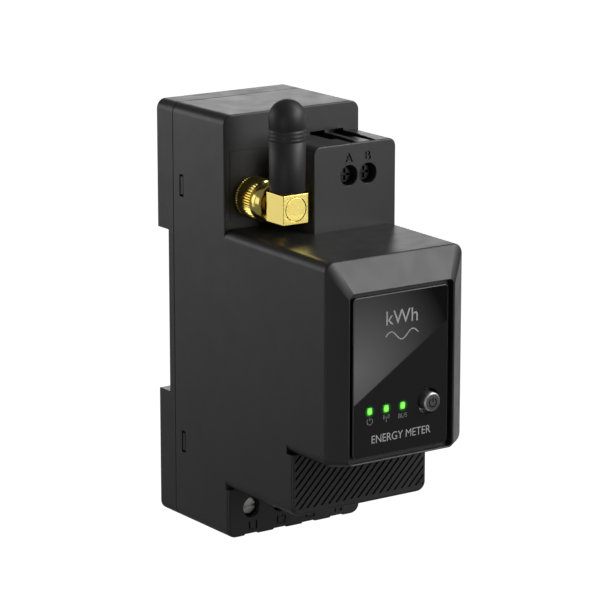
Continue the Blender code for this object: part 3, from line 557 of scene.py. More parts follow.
def turned_metal(name, colour, roughness):
    """Steel with the fine rings that a lathe leaves, round the piece's own Y axis."""
    material = surface(name, colour, roughness, 1.0)
    tree = material.node_tree
    rings = tree.nodes.new("ShaderNodeTexWave")
    rings.wave_type = "RINGS"
    rings.rings_direction = "Y"
    rings.inputs["Scale"].default_value = 1400.0
    rings.inputs["Distortion"].default_value = 1.5
    link(tree, tree.nodes["Texture Coordinate"], "Object", rings, "Vector")
    relief(tree, rings, 0.25, 0.01)
    return material


def board_finish(name):
    """Green solder mask over darker and paler copper areas."""
    material = surface(name, (0.012, 0.12, 0.045), 0.32, grain=0.1)
    tree = material.node_tree
    areas = tree.nodes.new("ShaderNodeTexVoronoi")
    areas.distance = "CHEBYCHEV"
    areas.inputs["Scale"].default_value = 230.0
    link(tree, tree.nodes["Texture Coordinate"], "Object", areas, "Vector")
    copper, bare = (0.0, (0.018, 0.17, 0.06)), (0.42, (0.008, 0.085, 0.032))
    shader = tree.nodes["Principled BSDF"]
    ramp(tree, areas, "Distance", copper, bare, shader, "Base Color", "CONSTANT")
    return material


def light_finish(name):
    """A lit green light guide, brightest and a little yellow in its middle."""
    material = surface(name, (0.10, 0.60, 0.05), 0.3, Emission_Strength=1.0)
    tree = material.node_tree
    glow = spot(tree, tree.nodes["Texture Coordinate"], (1250.0, 0.0, 1080.0))
    rim, middle = (0.15, (0.01, 0.22, 0.003)), (0.5, (0.28, 1.0, 0.11))
    ramp(tree, glow, "Fac", rim, middle, tree.nodes["Principled BSDF"], "Emission Color")
    return material


def paint_glow_round_lights(material):
    """Paints a faint green glow onto the gloss panel round each of its lights, as emission on the
    panel.
    """
    tree = material.node_tree
    shader = tree.nodes["Principled BSDF"]
    coordinates = tree.nodes["Texture Coordinate"]
    reach = 1.0 / (1.5 * MM)
    total = None
    for light in LIGHTS:
        x, z = centre_of("light_guide_" + light)
        middle = (-x * MM * reach, 0.0, -z * MM * reach)
        glow = spot(tree, coordinates, (reach, 0.0, reach), middle)
        if total is None:
            total = glow
            continue
        both = tree.nodes.new("ShaderNodeMath")
        tree.links.new(total.outputs[0], both.inputs[0])
        tree.links.new(glow.outputs[0], both.inputs[1])
        total = both
    # Painted glow: green emission on the panel, strongest next to each light, stands in for their
    # light falling on it
    dark, green = (0.08, (0.0, 0.0, 0.0)), (0.5, (0.004, 0.085, 0.003))
    ramp(tree, total, "Value", dark, green, shader, "Emission Color")
    shader.inputs["Emission Strength"].default_value = 1.0


MATERIALS = make_materials()
paint_glow_round_lights(MATERIALS["panel_gloss"])


def show(thing, material, body="root", replaces=()):
    """Gives a new piece its finish, its body and the CAD nodes it stands for."""
    thing.data.materials.clear()
    thing.data.materials.append(MATERIALS[material])
    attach(thing, body)
    if replaces:
        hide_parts(*replaces)
    return thing


# Main housing


def head_rings():
    """The head: a drafted block that closes into the bezel's lip."""
    sections = [
        Vector((INSIDE_Y, HALF_WIDTH, HEAD_BOTTOM, HEAD_TOP_REAR, EDGE_RADIUS)),
        Vector((SHOULDER_Y, HALF_WIDTH, HEAD_BOTTOM, HEAD_TOP_FRONT, EDGE_RADIUS)),
        Vector((LIP_Y, LIP_HALF_WIDTH, LIP_BOTTOM, LIP_TOP, LIP_CORNER_RADIUS)),
    ]
    rear, shoulder, lip = sections
    before = shoulder + (rear - shoulder) * (0.35 / (rear - shoulder).length)
    after = shoulder + (lip - shoulder) * (0.35 / (lip - shoulder).length)
    blended = [rear]
    for step in range(RIM_STEPS + 1):
        t = step / RIM_STEPS
        blended.append(before * (1 - t) ** 2 + shoulder * 2 * t * (1 - t) + after * t**2)
    blended.append(lip)
    rings = []
    for y, half_width, bottom, top, radius in blended:
        outline = rounded_rectangle(-half_width, half_width, bottom, top, radius)
        rings.append([(x, y, z) for x, z in outline])
    return rings


def housing_outside():
    shell = prism(
        "housing_shell",
        (-HALF_WIDTH, UPPER_FRONT_Y, -HALF_HEIGHT),
        (HALF_WIDTH, HOUSING_HIGH.y, HALF_HEIGHT),
        EDGE_RADIUS,
        RIM,
        FINE_RIM,
    )
    terminal_block = prism(
        "terminal_block",
        (-HALF_WIDTH, TERMINAL_FRONT_Y, -HALF_HEIGHT),
        (HALF_WIDTH, INSIDE_Y, -15.0),
        EDGE_RADIUS,
        STEP_RIM,
    )
    grip_block = prism(
        "grip_block",
        (-HALF_WIDTH, GRIP_FRONT_Y, GRIP_BOTTOM),
        (HALF_WIDTH, INSIDE_Y, -10.0),
        EDGE_RADIUS,
        STEP_RIM,
    )
    signal_block = prism(
        "signal_block",
        (SIGNAL_LEFT, SIGNAL_FRONT_Y, 10.0),
        (HALF_WIDTH, INSIDE_Y, SIGNAL_TOP),
        1.8,
        RIM,
    )
    shadow_gap = 0.12
    for block, front_y, top_z in (
        (terminal_block, TERMINAL_FRONT_Y, GRIP_BOTTOM),
        (grip_block, GRIP_FRONT_Y, HEAD_BOTTOM),
    ):
        low = (-20.0, front_y - PAST, top_z - shadow_gap)
        gap = box(block.name + "_gap", low, (20.0, front_y + 2.2, 0.0))
        bake(cut(block, gap)).modifiers.clear()  # the whole shell is levelled later
    join(shell, terminal_block, grip_block, loft("head_block", head_rings()), signal_block)
    return shell


def cut_cavities(shell):
    inner = HALF_WIDTH - WALL
    floor = GRIP_BOTTOM + WALL
    open_y = HOUSING_HIGH.y + 2.0
    spaces = {
        "core": ((-inner, UPPER_FRONT_Y + WALL, floor), (inner, open_y, HALF_HEIGHT - WALL)),
        "rear": ((-inner, -7.0, -HALF_HEIGHT + WALL), (inner, open_y, -30.0)),
        "grip": ((-inner, GRIP_FRONT_Y + WALL, floor), (inner, -15.0, 0.0)),
        "head": ((-inner, -57.5, HEAD_BOTTOM + WALL), (inner, -15.0, HEAD_TOP_FRONT - WALL)),
        "face": ((-12.3, FACE_WALL_Y, -19.9), (12.3, -50.0, 13.6)),
    }
    for name, (low, high) in spaces.items():
        cut(shell, box(name + "_space", low, high))


def add_bosses(shell):
    """Screw bosses for the main board at the top and for the display board in the head."""
    display_low, _ = corners("display_board")
    board_low, _ = corners("main_board")
    for node, radius, hole, wall_y, tip_y in (
        ("main_board_screw_1", 2.4, 1.1, UPPER_FRONT_Y + 1.0, board_low.y - GAP),
        ("main_board_screw_2", 2.4, 1.1, UPPER_FRONT_Y + 1.0, board_low.y - GAP),
        ("display_board_screw_1", 1.8, 0.9, FACE_WALL_Y - 0.7, display_low.y - GAP),
        ("display_board_screw_2", 1.8, 0.9, FACE_WALL_Y - 0.7, display_low.y - GAP),
    ):
        centre = centre_of(node)
        join(shell, cylinder(node + "_boss", radius, centre, wall_y, tip_y, 32))
        deep_y = tip_y + 0.65 * (wall_y - tip_y)
        cut(shell, cylinder(node + "_hole", hole, centre, deep_y, tip_y + PAST, 24))


def cut_bezel(shell):
    flare = 0.16
    rings = []
    half_width, bottom, top = 13.6, -21.6, 15.2
    for y, wider in (
        (LIP_Y - PAST, flare),
        (LIP_Y, flare),
        (LIP_Y + flare, 0.0),
        (RECESS_FLOOR_Y, 0.0),
    ):
        right = half_width + wider
        radius = RECESS_CORNER_RADIUS + wider
        outline = rounded_rectangle(-right, right, bottom - wider, top + wider, radius)
        rings.append([(x, y, z) for x, z in outline])
    cut(shell, loft("bezel_recess", rings))
    inside_y = FACE_WALL_Y + 1.0
    holes = []
    for light in LIGHTS:
        low, high = corners("light_guide_" + light)
        far = (high.x + GAP, inside_y, high.z + GAP)
        holes.append(((low.x - GAP, LIP_Y, low.z - GAP), far))
    cut(shell, boxes("light_holes", holes))
    centre = (BUTTON_X, CONTROL_Z)
    cut(shell, cylinder("button_hole", BUTTON_HOLE_RADIUS, centre, LIP_Y, inside_y))


def countersink(name, centre, front_y, back_y):
    """A screw hole with a softly chamfered mouth."""
    chamfer = 0.12
    profile = [
        (HOLE_RADIUS, -back_y),
        (HOLE_RADIUS, -front_y - chamfer),
        (HOLE_RADIUS + chamfer, -front_y),
        (HOLE_RADIUS + chamfer, -front_y + PAST),
    ]
    return turned(name, profile, (centre[0], 0.0, centre[1]))


def cut_mains_terminals(shell):
    pockets, entries, channels = [], [], []
    pocket, wire = 3.45, 1.9
    under = -HALF_HEIGHT - PAST
    for terminal in TERMINALS:
        x, z = centre_of("terminal_screw_" + terminal)
        pockets.append(((x - pocket, -20.9, -45.9), (x + pocket, -8.3, -33.0)))
        entries.append(((x - wire, -13.9, under), (x + wire, -9.4, -45.0)))
        roof = (x + wire, -14.4, -HALF_HEIGHT + 0.45)
        channels.append(((x - wire, TERMINAL_FRONT_Y - PAST, under), roof))
        cut(shell, countersink("terminal_hole_" + terminal, (x, z), TERMINAL_FRONT_Y, -20.0))
    cut(shell, boxes("cage_pockets", pockets), boxes("wire_entries", entries))
    cut(shell, boxes("wire_channels", channels))


def cut_signal_terminals(shell):
    rear_y = UPPER_FRONT_Y + 2.1
    front_y = SIGNAL_FRONT_Y + 0.4
    for signal in SIGNALS:
        x, z = centre_of("signal_screw_" + signal)
        cut(shell, box("signal_pocket_" + signal, (x - 2.3, -33.3, 28.4), (x + 2.3, -18.0, 38.2)))
        middle = x + 1.35
        slot = (
            (middle - 2.0, rear_y),
            (middle - 2.0, -30.5),
            (middle - 0.5, -30.5),
            (middle - 0.5, front_y),
            (middle + 0.9, front_y),
            (middle + 1.6, -31.0),
            (middle + 1.9, -28.0),
            (middle + 1.9, rear_y),
        )
        cut(shell, extruded("signal_slot_" + signal, slot, 38.0, SIGNAL_TOP + 0.55, "Z"))
        cut(shell, countersink("signal_hole_" + signal, (x, z), SIGNAL_FRONT_Y, -32.5))


def cut_grip_ribs(shell):
    """Diagonal grooves across the lower step, clipped to a border along its sides."""
    spacing = 1.95
    count = 26
    groove = Matrix.Diagonal((0.5, 1.6, 30.0, 1.0))
    slope = Matrix.Rotation(math.radians(45.0), 4, "Y")
    middle_z = (GRIP_BOTTOM + HEAD_BOTTOM) / 2
    edit = bmesh.new()
    for i in range(count):
        x = spacing * (i - (count - 1) / 2)
        place = Matrix.Translation((x, GRIP_FRONT_Y - 0.3, middle_z)) @ (slope @ groove)
        bmesh.ops.create_cube(edit, size=1.0, matrix=place)
    grooves = to_object("grip_grooves", edit)
    low = (-17.2, GRIP_FRONT_Y - 2.0, GRIP_BOTTOM + 1.5)
    high = (17.2, GRIP_FRONT_Y + 1.0, HEAD_BOTTOM - 0.3)
    boolean(grooves, "INTERSECT", box("grip_field", low, high))
    cut(shell, grooves)


def cut_snap_windows(shell):
    windows = []
    for z in SNAP_WINDOWS:
        for low_x, high_x in ((-20.0, -15.0), (15.0, 20.0)):
            windows.append(((low_x, -6.3, z - 2.5), (high_x, -4.7, z + 2.5)))
    cut(shell, boxes("snap_windows", windows))


def engraving(name, words, centre, front_y):
    above, depth = 0.5, 0.35
    return lettering(name, words, centre, 2.0, front_y - above, above + depth)


def cut_marks(shell):
    """The scribed line round the antenna's wall, and the terminal letters.

    Each letter is cut twice, a little to the side, which makes its strokes heavier.
    """
    line = 0.14
    low_x, front_y, back_y, top_z = -16.54, UPPER_FRONT_Y - PAST, UPPER_FRONT_Y + line, 39.55
    across = box("scribed_top", (low_x, front_y, top_z), (SIGNAL_LEFT - 0.6, back_y, top_z + line))
    down = box("scribed_side", (low_x, front_y, 24.0), (low_x + line, back_y, top_z + line / 2))
    cut(shell, across, down)
    for names, screw, shifts, z, wall_y in (
        (TERMINALS, "terminal_screw_", (0.18, 0.32), -45.45, TERMINAL_FRONT_Y),
        (SIGNALS, "signal_screw_", (-0.07, 0.07), 38.15, SIGNAL_FRONT_Y),
    ):
        for name in names:
            x, _ = centre_of(screw + name)
            for shift in shifts:
                place = (x + shift, z)
                cut(shell, engraving(f"letters_{name}_{shift}", name.upper(), place, wall_y))


def housing_shell():
    shell = housing_outside()
    cut_cavities(shell)
    add_bosses(shell)
    cut_bezel(shell)
    cut_mains_terminals(shell)
    cut_signal_terminals(shell)
    cut_grip_ribs(shell)
    antenna_centre = (ANTENNA_X, ANTENNA_Z)
    cut(shell, cylinder("antenna_hole", 3.3, antenna_centre, UPPER_FRONT_Y - PAST, -18.0))
    cut_snap_windows(shell)
    cut_marks(shell)
    show(bake(shell), "housing_black", replaces=["main_housing"])


# Rear base, latch and spring


def recess_outline():
    """(y, z) points of the rail recess, flaring into rounded outer corners."""
    soft = 0.55
    points = [(0.0, -RECESS_HALF_HEIGHT), (0.0, RECESS_HALF_HEIGHT)]
    rear = BASE_HIGH.y
    for step in range(RIM_STEPS + 1):
        angle = math.radians(90.0 * step / RIM_STEPS)
        y = rear - soft + soft * math.sin(angle)
        points.append((y, RECESS_HALF_HEIGHT + soft * (1 - math.cos(angle))))
    points.append((rear + 2.0, RECESS_HALF_HEIGHT + soft))
    points += [(y, -z) for y, z in reversed(points[2:])]
    return points


def base_shell():
    front_y = HOUSING_HIGH.y + SEAM
    shell = prism(
        "base_shell",
        (-HALF_WIDTH, front_y, -HALF_HEIGHT),
        (HALF_WIDTH, BASE_HIGH.y, HALF_HEIGHT),
        EDGE_RADIUS,
        FINE_RIM,
        RIM,
    )
    cut(shell, extruded("rail_recess", recess_outline(), -HALF_WIDTH - 2.0, HALF_WIDTH + 2.0, "X"))
    hook_relief = ((-12.6, SEAT_RELIEF_Y, HOOK_TIP_Z - GAP), (12.6, 1.0, RECESS_HALF_HEIGHT))
    latch_relief = ((-7.3, SEAT_RELIEF_Y, -RECESS_HALF_HEIGHT), (7.3, 1.0, LATCH_HIGH.z + GAP))
    cut(shell, boxes("seat_reliefs", [hook_relief, latch_relief]))
    hook = (
        (RAIL_GAP_Y, RECESS_HALF_HEIGHT + 1.0),
        (RAIL_GAP_Y, HOOK_TIP_Z + 0.5),
        (RAIL_GAP_Y + 0.6, HOOK_TIP_Z),
        (3.5, HOOK_TIP_Z + 1.2),
        (3.5, RECESS_HALF_HEIGHT + 1.0),
    )
    for side, (low_x, high_x) in (("left", (-12.0, -4.0)), ("right", (4.0, 12.0))):
        join(shell, extruded("rail_hook_" + side, hook, low_x, high_x, "X"))
    cut(shell, box("base_pocket", (-14.0, front_y - PAST, 21.0), (14.0, 2.2, 45.4)))
    for name, half, rear_y in (("channel", 7.2, BASE_HIGH.y + PAST), ("groove", 8.4, 2.4)):
        low, high = (-half, CHANNEL_FLOOR_Y, -50.0), (half, rear_y, -18.0)
        cut(shell, box("latch_" + name, low, high))
    join(shell, box("spring_stop", (-2.0, 0.4, -37.7), (2.0, 3.5, -35.3)))
    for i, z in enumerate(SNAP_WINDOWS):
        for side in (-1, 1):
            join(shell, snap_arm(f"snap_arm_{i}_{side}", side, z))
    show(bake(shell), "base_black", replaces=["rear_base"])


def snap_arm(name, side, z):
    """A springy arm whose barb fills the window in the housing's side wall."""
    seam_y = HOUSING_HIGH.y
    points = (
        (side * 15.0, seam_y + 1.0),
        (side * 16.0, seam_y + 1.0),
        (side * 16.0, -4.85),
        (side * 17.85, -4.85),
        (side * 17.85, -5.9),
        (side * 16.0, -6.15),
        (side * 15.6, -6.6),
        (side * 15.0, -6.6),
    )
    return extruded(name, points, z - 2.0, z + 2.0, "Z")


def latch_slide():
    bottom, top = LATCH_LOW.z, LATCH_HIGH.z
    outline = (
        (RAIL_GAP_Y, bottom),
        (2.6, bottom),
        (LATCH_HIGH.y, bottom + 1.1),
        (LATCH_HIGH.y, top - 2.2),
        (3.2, top - 1.0),
        (RAIL_GAP_Y + 0.6, top),
        (RAIL_GAP_Y, top - 0.5),
    )
    latch = extruded("latch_slide", outline, -6.9, 6.9, "X")
    join(latch, box("latch_flange", (-8.1, RAIL_GAP_Y, -46.6), (8.1, 2.1, -19.5)))
    window = prism("latch_window", (-2.6, 0.0, -38.0), (2.6, 5.0, -22.0), 0.3)
    pull_slot = prism("pull_slot", (-3.0, 0.0, -45.0), (3.0, 5.0, -43.0), 0.6)
    ridges = [((-6.0, 3.45, z), (6.0, 5.0, z + 0.5)) for z in (-42.0, -41.0, -40.0)]
    cut(latch, window, pull_slot, boxes("latch_ridges", ridges))
    show(bake(latch), "latch_black", "din_latch", replaces=["din_latch"])


def coil_spring():
    """The latch spring: a coil of wire that fills the CAD spring's box."""
    wire = 0.2
    radius = (SPRING_HIGH.x - SPRING_LOW.x) / 2 - wire
    turns = 7
    steps = turns * 24
    low_z, high_z = SPRING_LOW.z + wire, SPRING_HIGH.z - wire
    curve = bpy.data.curves.new("coil_spring", "CURVE")
    curve.dimensions = "3D"
    curve.bevel_depth = wire * MM
    curve.bevel_resolution = 3
    curve.use_fill_caps = True
    spline = curve.splines.new("POLY")
    spline.points.add(steps)
    for i, point in enumerate(spline.points):
        angle = math.tau * turns * i / steps
        z = low_z + (high_z - low_z) * i / steps
        y = (SPRING_LOW.y + SPRING_HIGH.y) / 2 + radius * math.sin(angle)
        point.co = (radius * math.cos(angle) * MM, y * MM, z * MM, 1.0)
    spring = shade(mesh_from_curve("coil_spring", curve), ROUND_ANGLE)
    show(spring, "spring_steel", replaces=["latch_spring"])
    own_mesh(spring)


# Face panel, prints, button and lights


def gloss_panel():
    panel = prism("gloss_panel", PANEL_LOW, PANEL_HIGH, 1.0, 0.2)
    front_y, rear_y = PANEL_LOW.y - PAST, PANEL_HIGH.y + PAST
    play = 0.08
    for light in LIGHTS:
        low, high = corners("light_guide_" + light)
        low = (low.x - play, front_y, low.z - play)
        high = (high.x + play, rear_y, high.z + play)
        cut(panel, prism("window_" + light, low, high, 0.3, steps=6))
    centre = (BUTTON_X, CONTROL_Z)
    cut(panel, cylinder("panel_hole", BUTTON_HOLE_RADIUS, centre, front_y, rear_y))
    show(bake(panel, FLAT_ANGLE), "panel_gloss", replaces=["face_panel"])
    # The bevelled rim faces take panel_edge, whose paler grey is a painted highlight along the
    # panel's edge
    panel.data.materials.append(MATERIALS["panel_edge"])
    for face in panel.data.polygons:
        bevelled = 0.2 < abs(face.normal.y) < 0.97
        face.material_index = int(bevelled)


def power_sign(centre, radius):
    x, z = centre
    return [arc(centre, radius, 125.0, 415.0), [(x, z + 0.1 * radius), (x, z + 1.15 * radius)]]


def radio_sign(centre, size):
    x, z = centre
    lines = [[(x, z - size), (x, z + 0.45 * size)]]
    for radius in (0.5 * size, 0.95 * size):
        top = (x, z + 0.45 * size)
        lines.append(arc(top, radius, -38.0, 38.0, 10))
        lines.append(arc(top, radius, 142.0, 218.0, 10))
    return lines


def wave_sign(centre, width, height):
    """One and a half periods of a sine wave, the mark for alternating current."""
    x, z = centre
    steps = 48
    points = []
    for step in range(steps + 1):
        t = step / steps
        points.append((x + width * (t - 0.5), z + height * math.sin(3 * math.pi * t) / 2))
    return [points]


def panel_prints():
    front_y = PANEL_LOW.y - PRINT_HEIGHT
    sign_z = CONTROL_Z - 2.15
    power_x, _ = centre_of("light_guide_power")
    radio_x, _ = centre_of("light_guide_radio")
    bus_x, _ = centre_of("light_guide_bus")
    signs = {
        "print_power": printed("print_power", power_sign((power_x, sign_z), 0.72), 0.17, front_y),
        "print_radio": printed("print_radio", radio_sign((radio_x, sign_z), 0.8), 0.17, front_y),
        "print_bus": lettering("print_bus", "BUS", (bus_x, sign_z), 1.0, front_y, PRINT_HEIGHT),
    }
    for sign in signs.values():
        show(sign, "print_dim")
    middle = 0.2
    unit = lettering("print_unit", "kWh", (middle, 8.9), 3.0, front_y, PRINT_HEIGHT)
    wave = printed("print_wave", wave_sign((middle, 4.9), 8.6, 1.9), 0.26, front_y)
    low = (middle, -17.0)
    words = lettering("print_words", "ENERGY METER", low, 1.75, front_y, PRINT_HEIGHT, 15.6)
    for sign in (unit, wave, words):
        show(sign, "print_grey")


def button_top():
    """The button's cap: matt on top, with a bright rim and side."""
    radius = 2.1
    rim_width = 0.28
    flange_radius = (CAP_HIGH.x - CAP_LOW.x) / 2
    flange_front = 59.9
    top = -CAP_LOW.y - PRINT_HEIGHT
    profile = [
        (0.0, -CAP_HIGH.y),
        (flange_radius, -CAP_HIGH.y),
        (flange_radius, flange_front),
        (radius, flange_front),
        (radius, top - 0.3),
        (radius - 0.3, top),
        (0.0, top),
    ]
    centre = (BUTTON_X, 0.0, CONTROL_Z)
    cap = turned("button_top", softened(profile, 0.16), centre, angle=FLAT_ANGLE)
    show(cap, "button_black", "button", replaces=["button_cap"])
    cap.data.materials.append(MATERIALS["button_rim"])
    for face in cap.data.polygons:
        points = [cap.data.vertices[i].co for i in face.vertices]
        outer = max(Vector((point.x, point.z)).length for point in points)
        if outer > (radius - rim_width) * MM:
            face.material_index = 1
    lines = power_sign((BUTTON_X, CONTROL_Z - 0.1), 0.95)
    sign = printed("print_button", lines, 0.3, CAP_LOW.y)
    show(sign, "mark_black", "button")


def light_pipes():
    for light in LIGHTS:
        low, high = corners("light_guide_" + light)
        pipe = prism("light_pipe_" + light, low, high, 0.3, 0.12, steps=6)
        middle = Vector(((low.x + high.x) / 2, low.y, (low.z + high.z) / 2)) * MM
        pipe.data.transform(Matrix.Translation(-middle))
        pipe.location = middle
        show(pipe, "light_green", replaces=["light_guide_" + light])


# Screws


def slotted_screw(node, finish, head_radius, head_height, shank_radius, slot_width, crossed=False):
    """A cheese-head screw with a slot or a cross, and the rings of a thread on its shank."""
    low, high = corners(node)
    x, z = centre_of(node)
    top, tip = -low.y, -high.y
    profile = [(0.0, tip), (shank_radius - 0.2, tip), (shank_radius, tip + 0.2)]
    pitch = 0.5
    threads = int((top - head_height - tip - 0.4) / pitch)
    for i in range(threads):
        start = tip + 0.3 + pitch * i
        profile += [(shank_radius, start), (shank_radius - 0.16, start + pitch / 2)]
    profile += [(shank_radius, top - head_height - 0.05), (shank_radius, top - head_height)]
    head = [
        (shank_radius, top - head_height),
        (head_radius, top - head_height),
        (head_radius, top),
        (0.0, top),
    ]
    middle = (x, 0.0, z)
    screw = turned(node + "_turned", profile + softened(head, 0.22)[1:], middle, angle=THREAD_ANGLE)
    half = slot_width / 2
    reach = 1.3 if crossed else head_radius + 1.0
    front_y, floor_y = low.y - PAST, low.y + 0.6
    slot = box(node + "_slot", (x - reach, front_y, z - half), (x + reach, floor_y, z + half))
    cut(screw, slot)
    if crossed:
        low, high = (x - half, front_y, z - reach), (x + half, floor_y, z + reach)
        cut(screw, box(node + "_cross", low, high))
    show(bake(screw, THREAD_ANGLE), finish, node, replaces=[node])


def screws():
    for terminal in TERMINALS:
        slotted_screw("terminal_screw_" + terminal, "screw_steel", 1.95, 1.2, 1.45, 0.6)
    # The signal screws' dark finish is partly black zinc and partly painted shade of the deep holes
    # they sit in
    for signal in SIGNALS:
        slotted_screw("signal_screw_" + signal, "screw_black", 1.85, 1.0, 1.15, 0.6, True)


# Antenna


def antenna_arm():
    half = (ELBOW_HIGH.x - ELBOW_LOW.x) / 2
    front_y = ELBOW_LOW.y
    rear_y = front_y + 2 * half
    low = (ANTENNA_X - half, front_y, ANTENNA_Z - half)
    high = (ANTENNA_X + half, rear_y, ANTENNA_Z + half)
    elbow = rounded_box("elbow_body", low, high, 0.14)
    neck = [
        (0.0, -rear_y + 1.0),
        (2.5, -rear_y + 1.0),
        (2.5, 30.05),
        (3.0, 30.05),
        (3.0, 29.5),
        (0.6, 29.5),
        (0.6, -ELBOW_HIGH.y),
        (0.0, -ELBOW_HIGH.y),
    ]
    join(elbow, turned("elbow_neck", neck, (ANTENNA_X, 0.0, ANTENNA_Z)))
    stub = [(2.0, ANTENNA_Z + half - 1.0), (2.0, ELBOW_HIGH.z)]
    join(elbow, turned("elbow_stub", stub, (ANTENNA_X, SLEEVE_Y, 0.0), axis="Z"))
    centre = (ANTENNA_X, ANTENNA_Z)
    cut(elbow, cylinder("cap_recess", 2.72, centre, front_y - PAST, front_y + 0.8))
    show(bake(elbow), "gold_plate", "antenna", replaces=["antenna_elbow"])
    cap_low, cap_high = corners("elbow_cap")
    disc = [(0.0, -cap_high.y), (2.6, -cap_high.y), (2.6, -cap_low.y), (0.0, -cap_low.y)]
    cap = turned("elbow_disc", softened(disc, 0.12), (ANTENNA_X, 0.0, ANTENNA_Z), angle=FLAT_ANGLE)
    show(cap, "gold_plate", "antenna", replaces=["elbow_cap"])


def sleeve():
    """The rubber sleeve: domed, with a band of fine grooves, and hollow from below."""
    radius = (SLEEVE_HIGH.x - SLEEVE_LOW.x) / 2
    foot_radius = radius - 0.15
    bottom, top = SLEEVE_LOW.z, SLEEVE_HIGH.z
    dome_steps = 20
    profile = [(0.0, 48.5), (1.6, 48.5), (1.6, bottom + 3.4), (2.3, bottom + 3.4), (2.3, bottom)]
    profile += [(foot_radius - 0.15, bottom), (foot_radius, bottom + 0.15)]
    for z, depth in ((43.7, 0.15), (44.5, 0.05), (45.4, 0.05), (46.2, 0.15)):
        profile += [
            (radius, z - 0.2),
            (radius - depth, z - 0.06),
            (radius - depth, z + 0.06),
            (radius, z + 0.2),
        ]
    for step in range(dome_steps + 1):
        angle = math.radians(90.0 * step / dome_steps)
        profile.append((radius * math.cos(angle), top - radius + radius * math.sin(angle)))
    rubber = turned("rubber_sleeve", profile, (ANTENNA_X, SLEEVE_Y, 0.0), axis="Z", angle=50.0)
    show(rubber, "antenna_rubber", "antenna", replaces=["antenna_sleeve"])


def knurled_nut():
    """The coupling nut: a finely knurled grip, a groove and a plain collar."""
    radius = (NUT_HIGH.x - NUT_LOW.x) / 2
    rear, front = -NUT_HIGH.y, -NUT_LOW.y
    teeth = 48
    steps_per_tooth = 4
    tooth_depth = (0.0, 0.16, 0.32, 0.16)

    def ripple(reach, height, segment):
        knurled = rear + 0.45 < height < 28.6 and reach > radius - 0.05
        return reach - (tooth_depth[segment % steps_per_tooth] if knurled else 0.0)

    collar = radius - 0.2
    profile = [
        (3.3, rear),
        (radius - 0.45, rear),
        (radius - 0.1, rear + 0.4),
        (radius, rear + 0.5),
        (radius, 28.5),
        (radius - 0.1, 28.65),
        (radius - 0.6, 28.9),
        (radius - 0.6, 29.35),
        (collar, 29.5),
        (collar, front - 0.45),
        (collar - 0.12, front - 0.15),
        (collar - 0.4, front),
        (2.85, front),
        (2.85, 30.35),
        (3.3, 30.35),
    ]
    nut = turned(
        "knurled_nut",
        profile,
        (ANTENNA_X, 0.0, ANTENNA_Z),
        segments=teeth * steps_per_tooth,
        ripple=ripple,
        loop=True,
        angle=KNURL_ANGLE,
    )
    show(nut, "gold_plate", "coupling_nut", replaces=["coupling_nut"])


# CAD nodes that keep their shape


def finish_cad_nodes():
    """Gives each CAD node its slot's finish, and soft edges where they would catch the light."""
    slots = {part["node"]: part["material_slot"] for part in frame["record"]["subparts"]}
    for node, thing in frame["nodes"].items():
        thing.data.materials.clear()
        thing.data.materials.append(MATERIALS[slots[node]])
        if thing.hide_render:
            continue
        weld = thing.modifiers.new("weld", "WELD")
        weld.merge_threshold = 0.001 * MM
        bevel = thing.modifiers.new("soft_edges", "BEVEL")
        bevel.width = 0.08 * MM
        bevel.segments = 2
        bevel.limit_method = "ANGLE"
        bevel.angle_limit = math.radians(40.0)
        level_shading(thing)


# Camera, floor and light

CAMERA_PLACE = (-0.376277, -0.565360, 0.162918)
CAMERA_AZIMUTH = -34.878
CAMERA_ELEVATION = 13.492
CAMERA_LENS = 183.67
CENTRE = Vector((0.0, -0.03, 0.0))
FLOOR_Z = -750.0
FLOOR_HALF = 20000.0
BACKDROP = 1.15
AMBIENT = 0.18
CARD_TILT = 32.2
GLOW_RADIANCE = 2.15
SOFT_BOX_SIZE = 0.22
# Each soft box's azimuth, elevation and radiance
SOFT_BOXES = (
    ("key", 60, 30, 4.0),
    ("front_high", 33, 28, 5.2),
    ("front", 30, 10, 3.4),
    ("upper_right", 65, 52, 3.0),
    ("rear_left", 210, 10, 1.9),
    ("rear_right", 150, 10, 2.4),
    ("left", 240, 10, 1.0),
    ("right", 105, -12, 0.8),
    ("below", 0, -89, 0.4),
    ("rear_low", 178, -14, 0.9),
)


def aim_camera():
    azimuth, elevation = math.radians(CAMERA_AZIMUTH), math.radians(CAMERA_ELEVATION)
    level = math.cos(elevation)
    back = Vector((math.sin(azimuth) * level, -math.cos(azimuth) * level, math.sin(elevation)))
    data = bpy.data.cameras.new("camera")
    data.lens = CAMERA_LENS
    data.sensor_width = 36.0
    data.clip_start = 0.05
    camera = add_to_scene("camera", data)
    camera.location = CAMERA_PLACE
    camera.rotation_mode = "QUATERNION"
    camera.rotation_quaternion = back.to_track_quat("Z", "Y")
    bpy.context.scene.camera = camera


def around(azimuth, elevation, distance=0.5):
    """A place at an angle round the model: azimuth 0 is its front, 90 its right-hand side."""
    azimuth, elevation = math.radians(azimuth), math.radians(elevation)
    out = Vector((math.sin(azimuth), -math.cos(azimuth), math.tan(elevation))).normalized()
    return CENTRE + distance * out


def soft_box(name, place, target, width, height, radiance):
    """A rectangular light in metres, facing target; radiance is its brightness as seen."""
    data = bpy.data.lights.new(name, "AREA")
    data.shape = "RECTANGLE"
    data.size = width
    data.size_y = height
    data.energy = radiance * math.pi * width * height
    light = add_to_scene(name, data)
    light.location = place
    light.visible_camera = False
    aim = (Vector(target) - Vector(place)).to_track_quat("-Z", "Y")
    light.rotation_mode = "QUATERNION"
    light.rotation_quaternion = aim


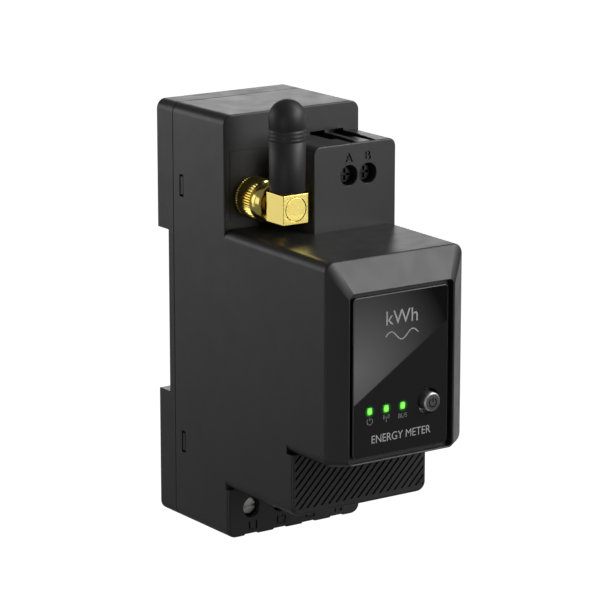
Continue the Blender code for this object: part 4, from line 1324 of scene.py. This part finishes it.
def panel_glow():
    """A card seen only in mirrors: its lower edge draws the diagonal across the gloss panel."""
    card = box("panel_glow", (-80.0, -0.5, 0.0), (80.0, 0.5, 46.0))
    card.location = (0.2953, -0.463, -0.1342)
    card.rotation_euler = (0.0, math.radians(-CARD_TILT), 0.0)
    material = bpy.data.materials.new("panel_glow")
    material.use_nodes = True
    tree = material.node_tree
    shader = tree.nodes["Principled BSDF"]
    shader.inputs["Base Color"].default_value = (0.0, 0.0, 0.0, 1.0)
    shader.inputs["Emission Strength"].default_value = GLOW_RADIANCE
    coordinates = tree.nodes.new("ShaderNodeTexCoord")
    fade = spot(tree, coordinates, (22.0, 22.0, 22.0), (0.308, 0.0, -0.2464))
    link(tree, fade, "Color", shader, "Emission Color")
    card.data.materials.append(material)
    card.visible_camera = False
    card.visible_diffuse = False
    card.visible_shadow = False


def studio():
    corner = (FLOOR_HALF, FLOOR_HALF, FLOOR_Z)
    floor = box("floor", (-FLOOR_HALF, -FLOOR_HALF, FLOOR_Z - 10.0), corner)
    pale = surface(
        "floor_pale",
        (0.92, 0.92, 0.92),
        0.9,
        vary=0.01,
        Emission_Strength=0.9,
        Emission_Color=(1.0, 1.0, 1.0, 1.0),
    )
    floor.data.materials.append(pale)
    floor.visible_diffuse = False
    floor.visible_glossy = False

    world = bpy.data.worlds.new("studio")
    bpy.context.scene.world = world
    world.use_nodes = True
    tree = world.node_tree
    background = tree.nodes["Background"]
    background.inputs["Color"].default_value = (1.0, 1.0, 1.0, 1.0)
    paths = tree.nodes.new("ShaderNodeLightPath")
    brightness = tree.nodes.new("ShaderNodeMix")
    link(tree, paths, "Is Camera Ray", brightness, "Factor")
    brightness.inputs["A"].default_value = AMBIENT
    brightness.inputs["B"].default_value = BACKDROP
    link(tree, brightness, "Result", background, "Strength")

    for name, azimuth, elevation, radiance in SOFT_BOXES:
        place = around(azimuth, elevation)
        soft_box(name, place, CENTRE, SOFT_BOX_SIZE, SOFT_BOX_SIZE, radiance)
    gold_card = (-0.291, 0.367, -0.073)
    soft_box("gold_card", gold_card, CENTRE, 0.12, 0.12, 0.75)
    elbow_card = Vector((0.283, -0.463, -0.0765))
    soft_box("elbow_card", elbow_card, elbow_card + Vector((0, 1, 0)), 0.05, 0.026, 2.3)
    soft_box("rim_strip", around(302, -13), CENTRE, 0.07, 0.25, 3.0)
    panel_glow()
    bpy.context.scene.view_settings.view_transform = "Standard"


def build():
    aim_camera()
    housing_shell()
    base_shell()
    latch_slide()
    coil_spring()
    gloss_panel()
    panel_prints()
    button_top()
    light_pipes()
    screws()
    antenna_arm()
    sleeve()
    knurled_nut()
    finish_cad_nodes()
    studio()


build()
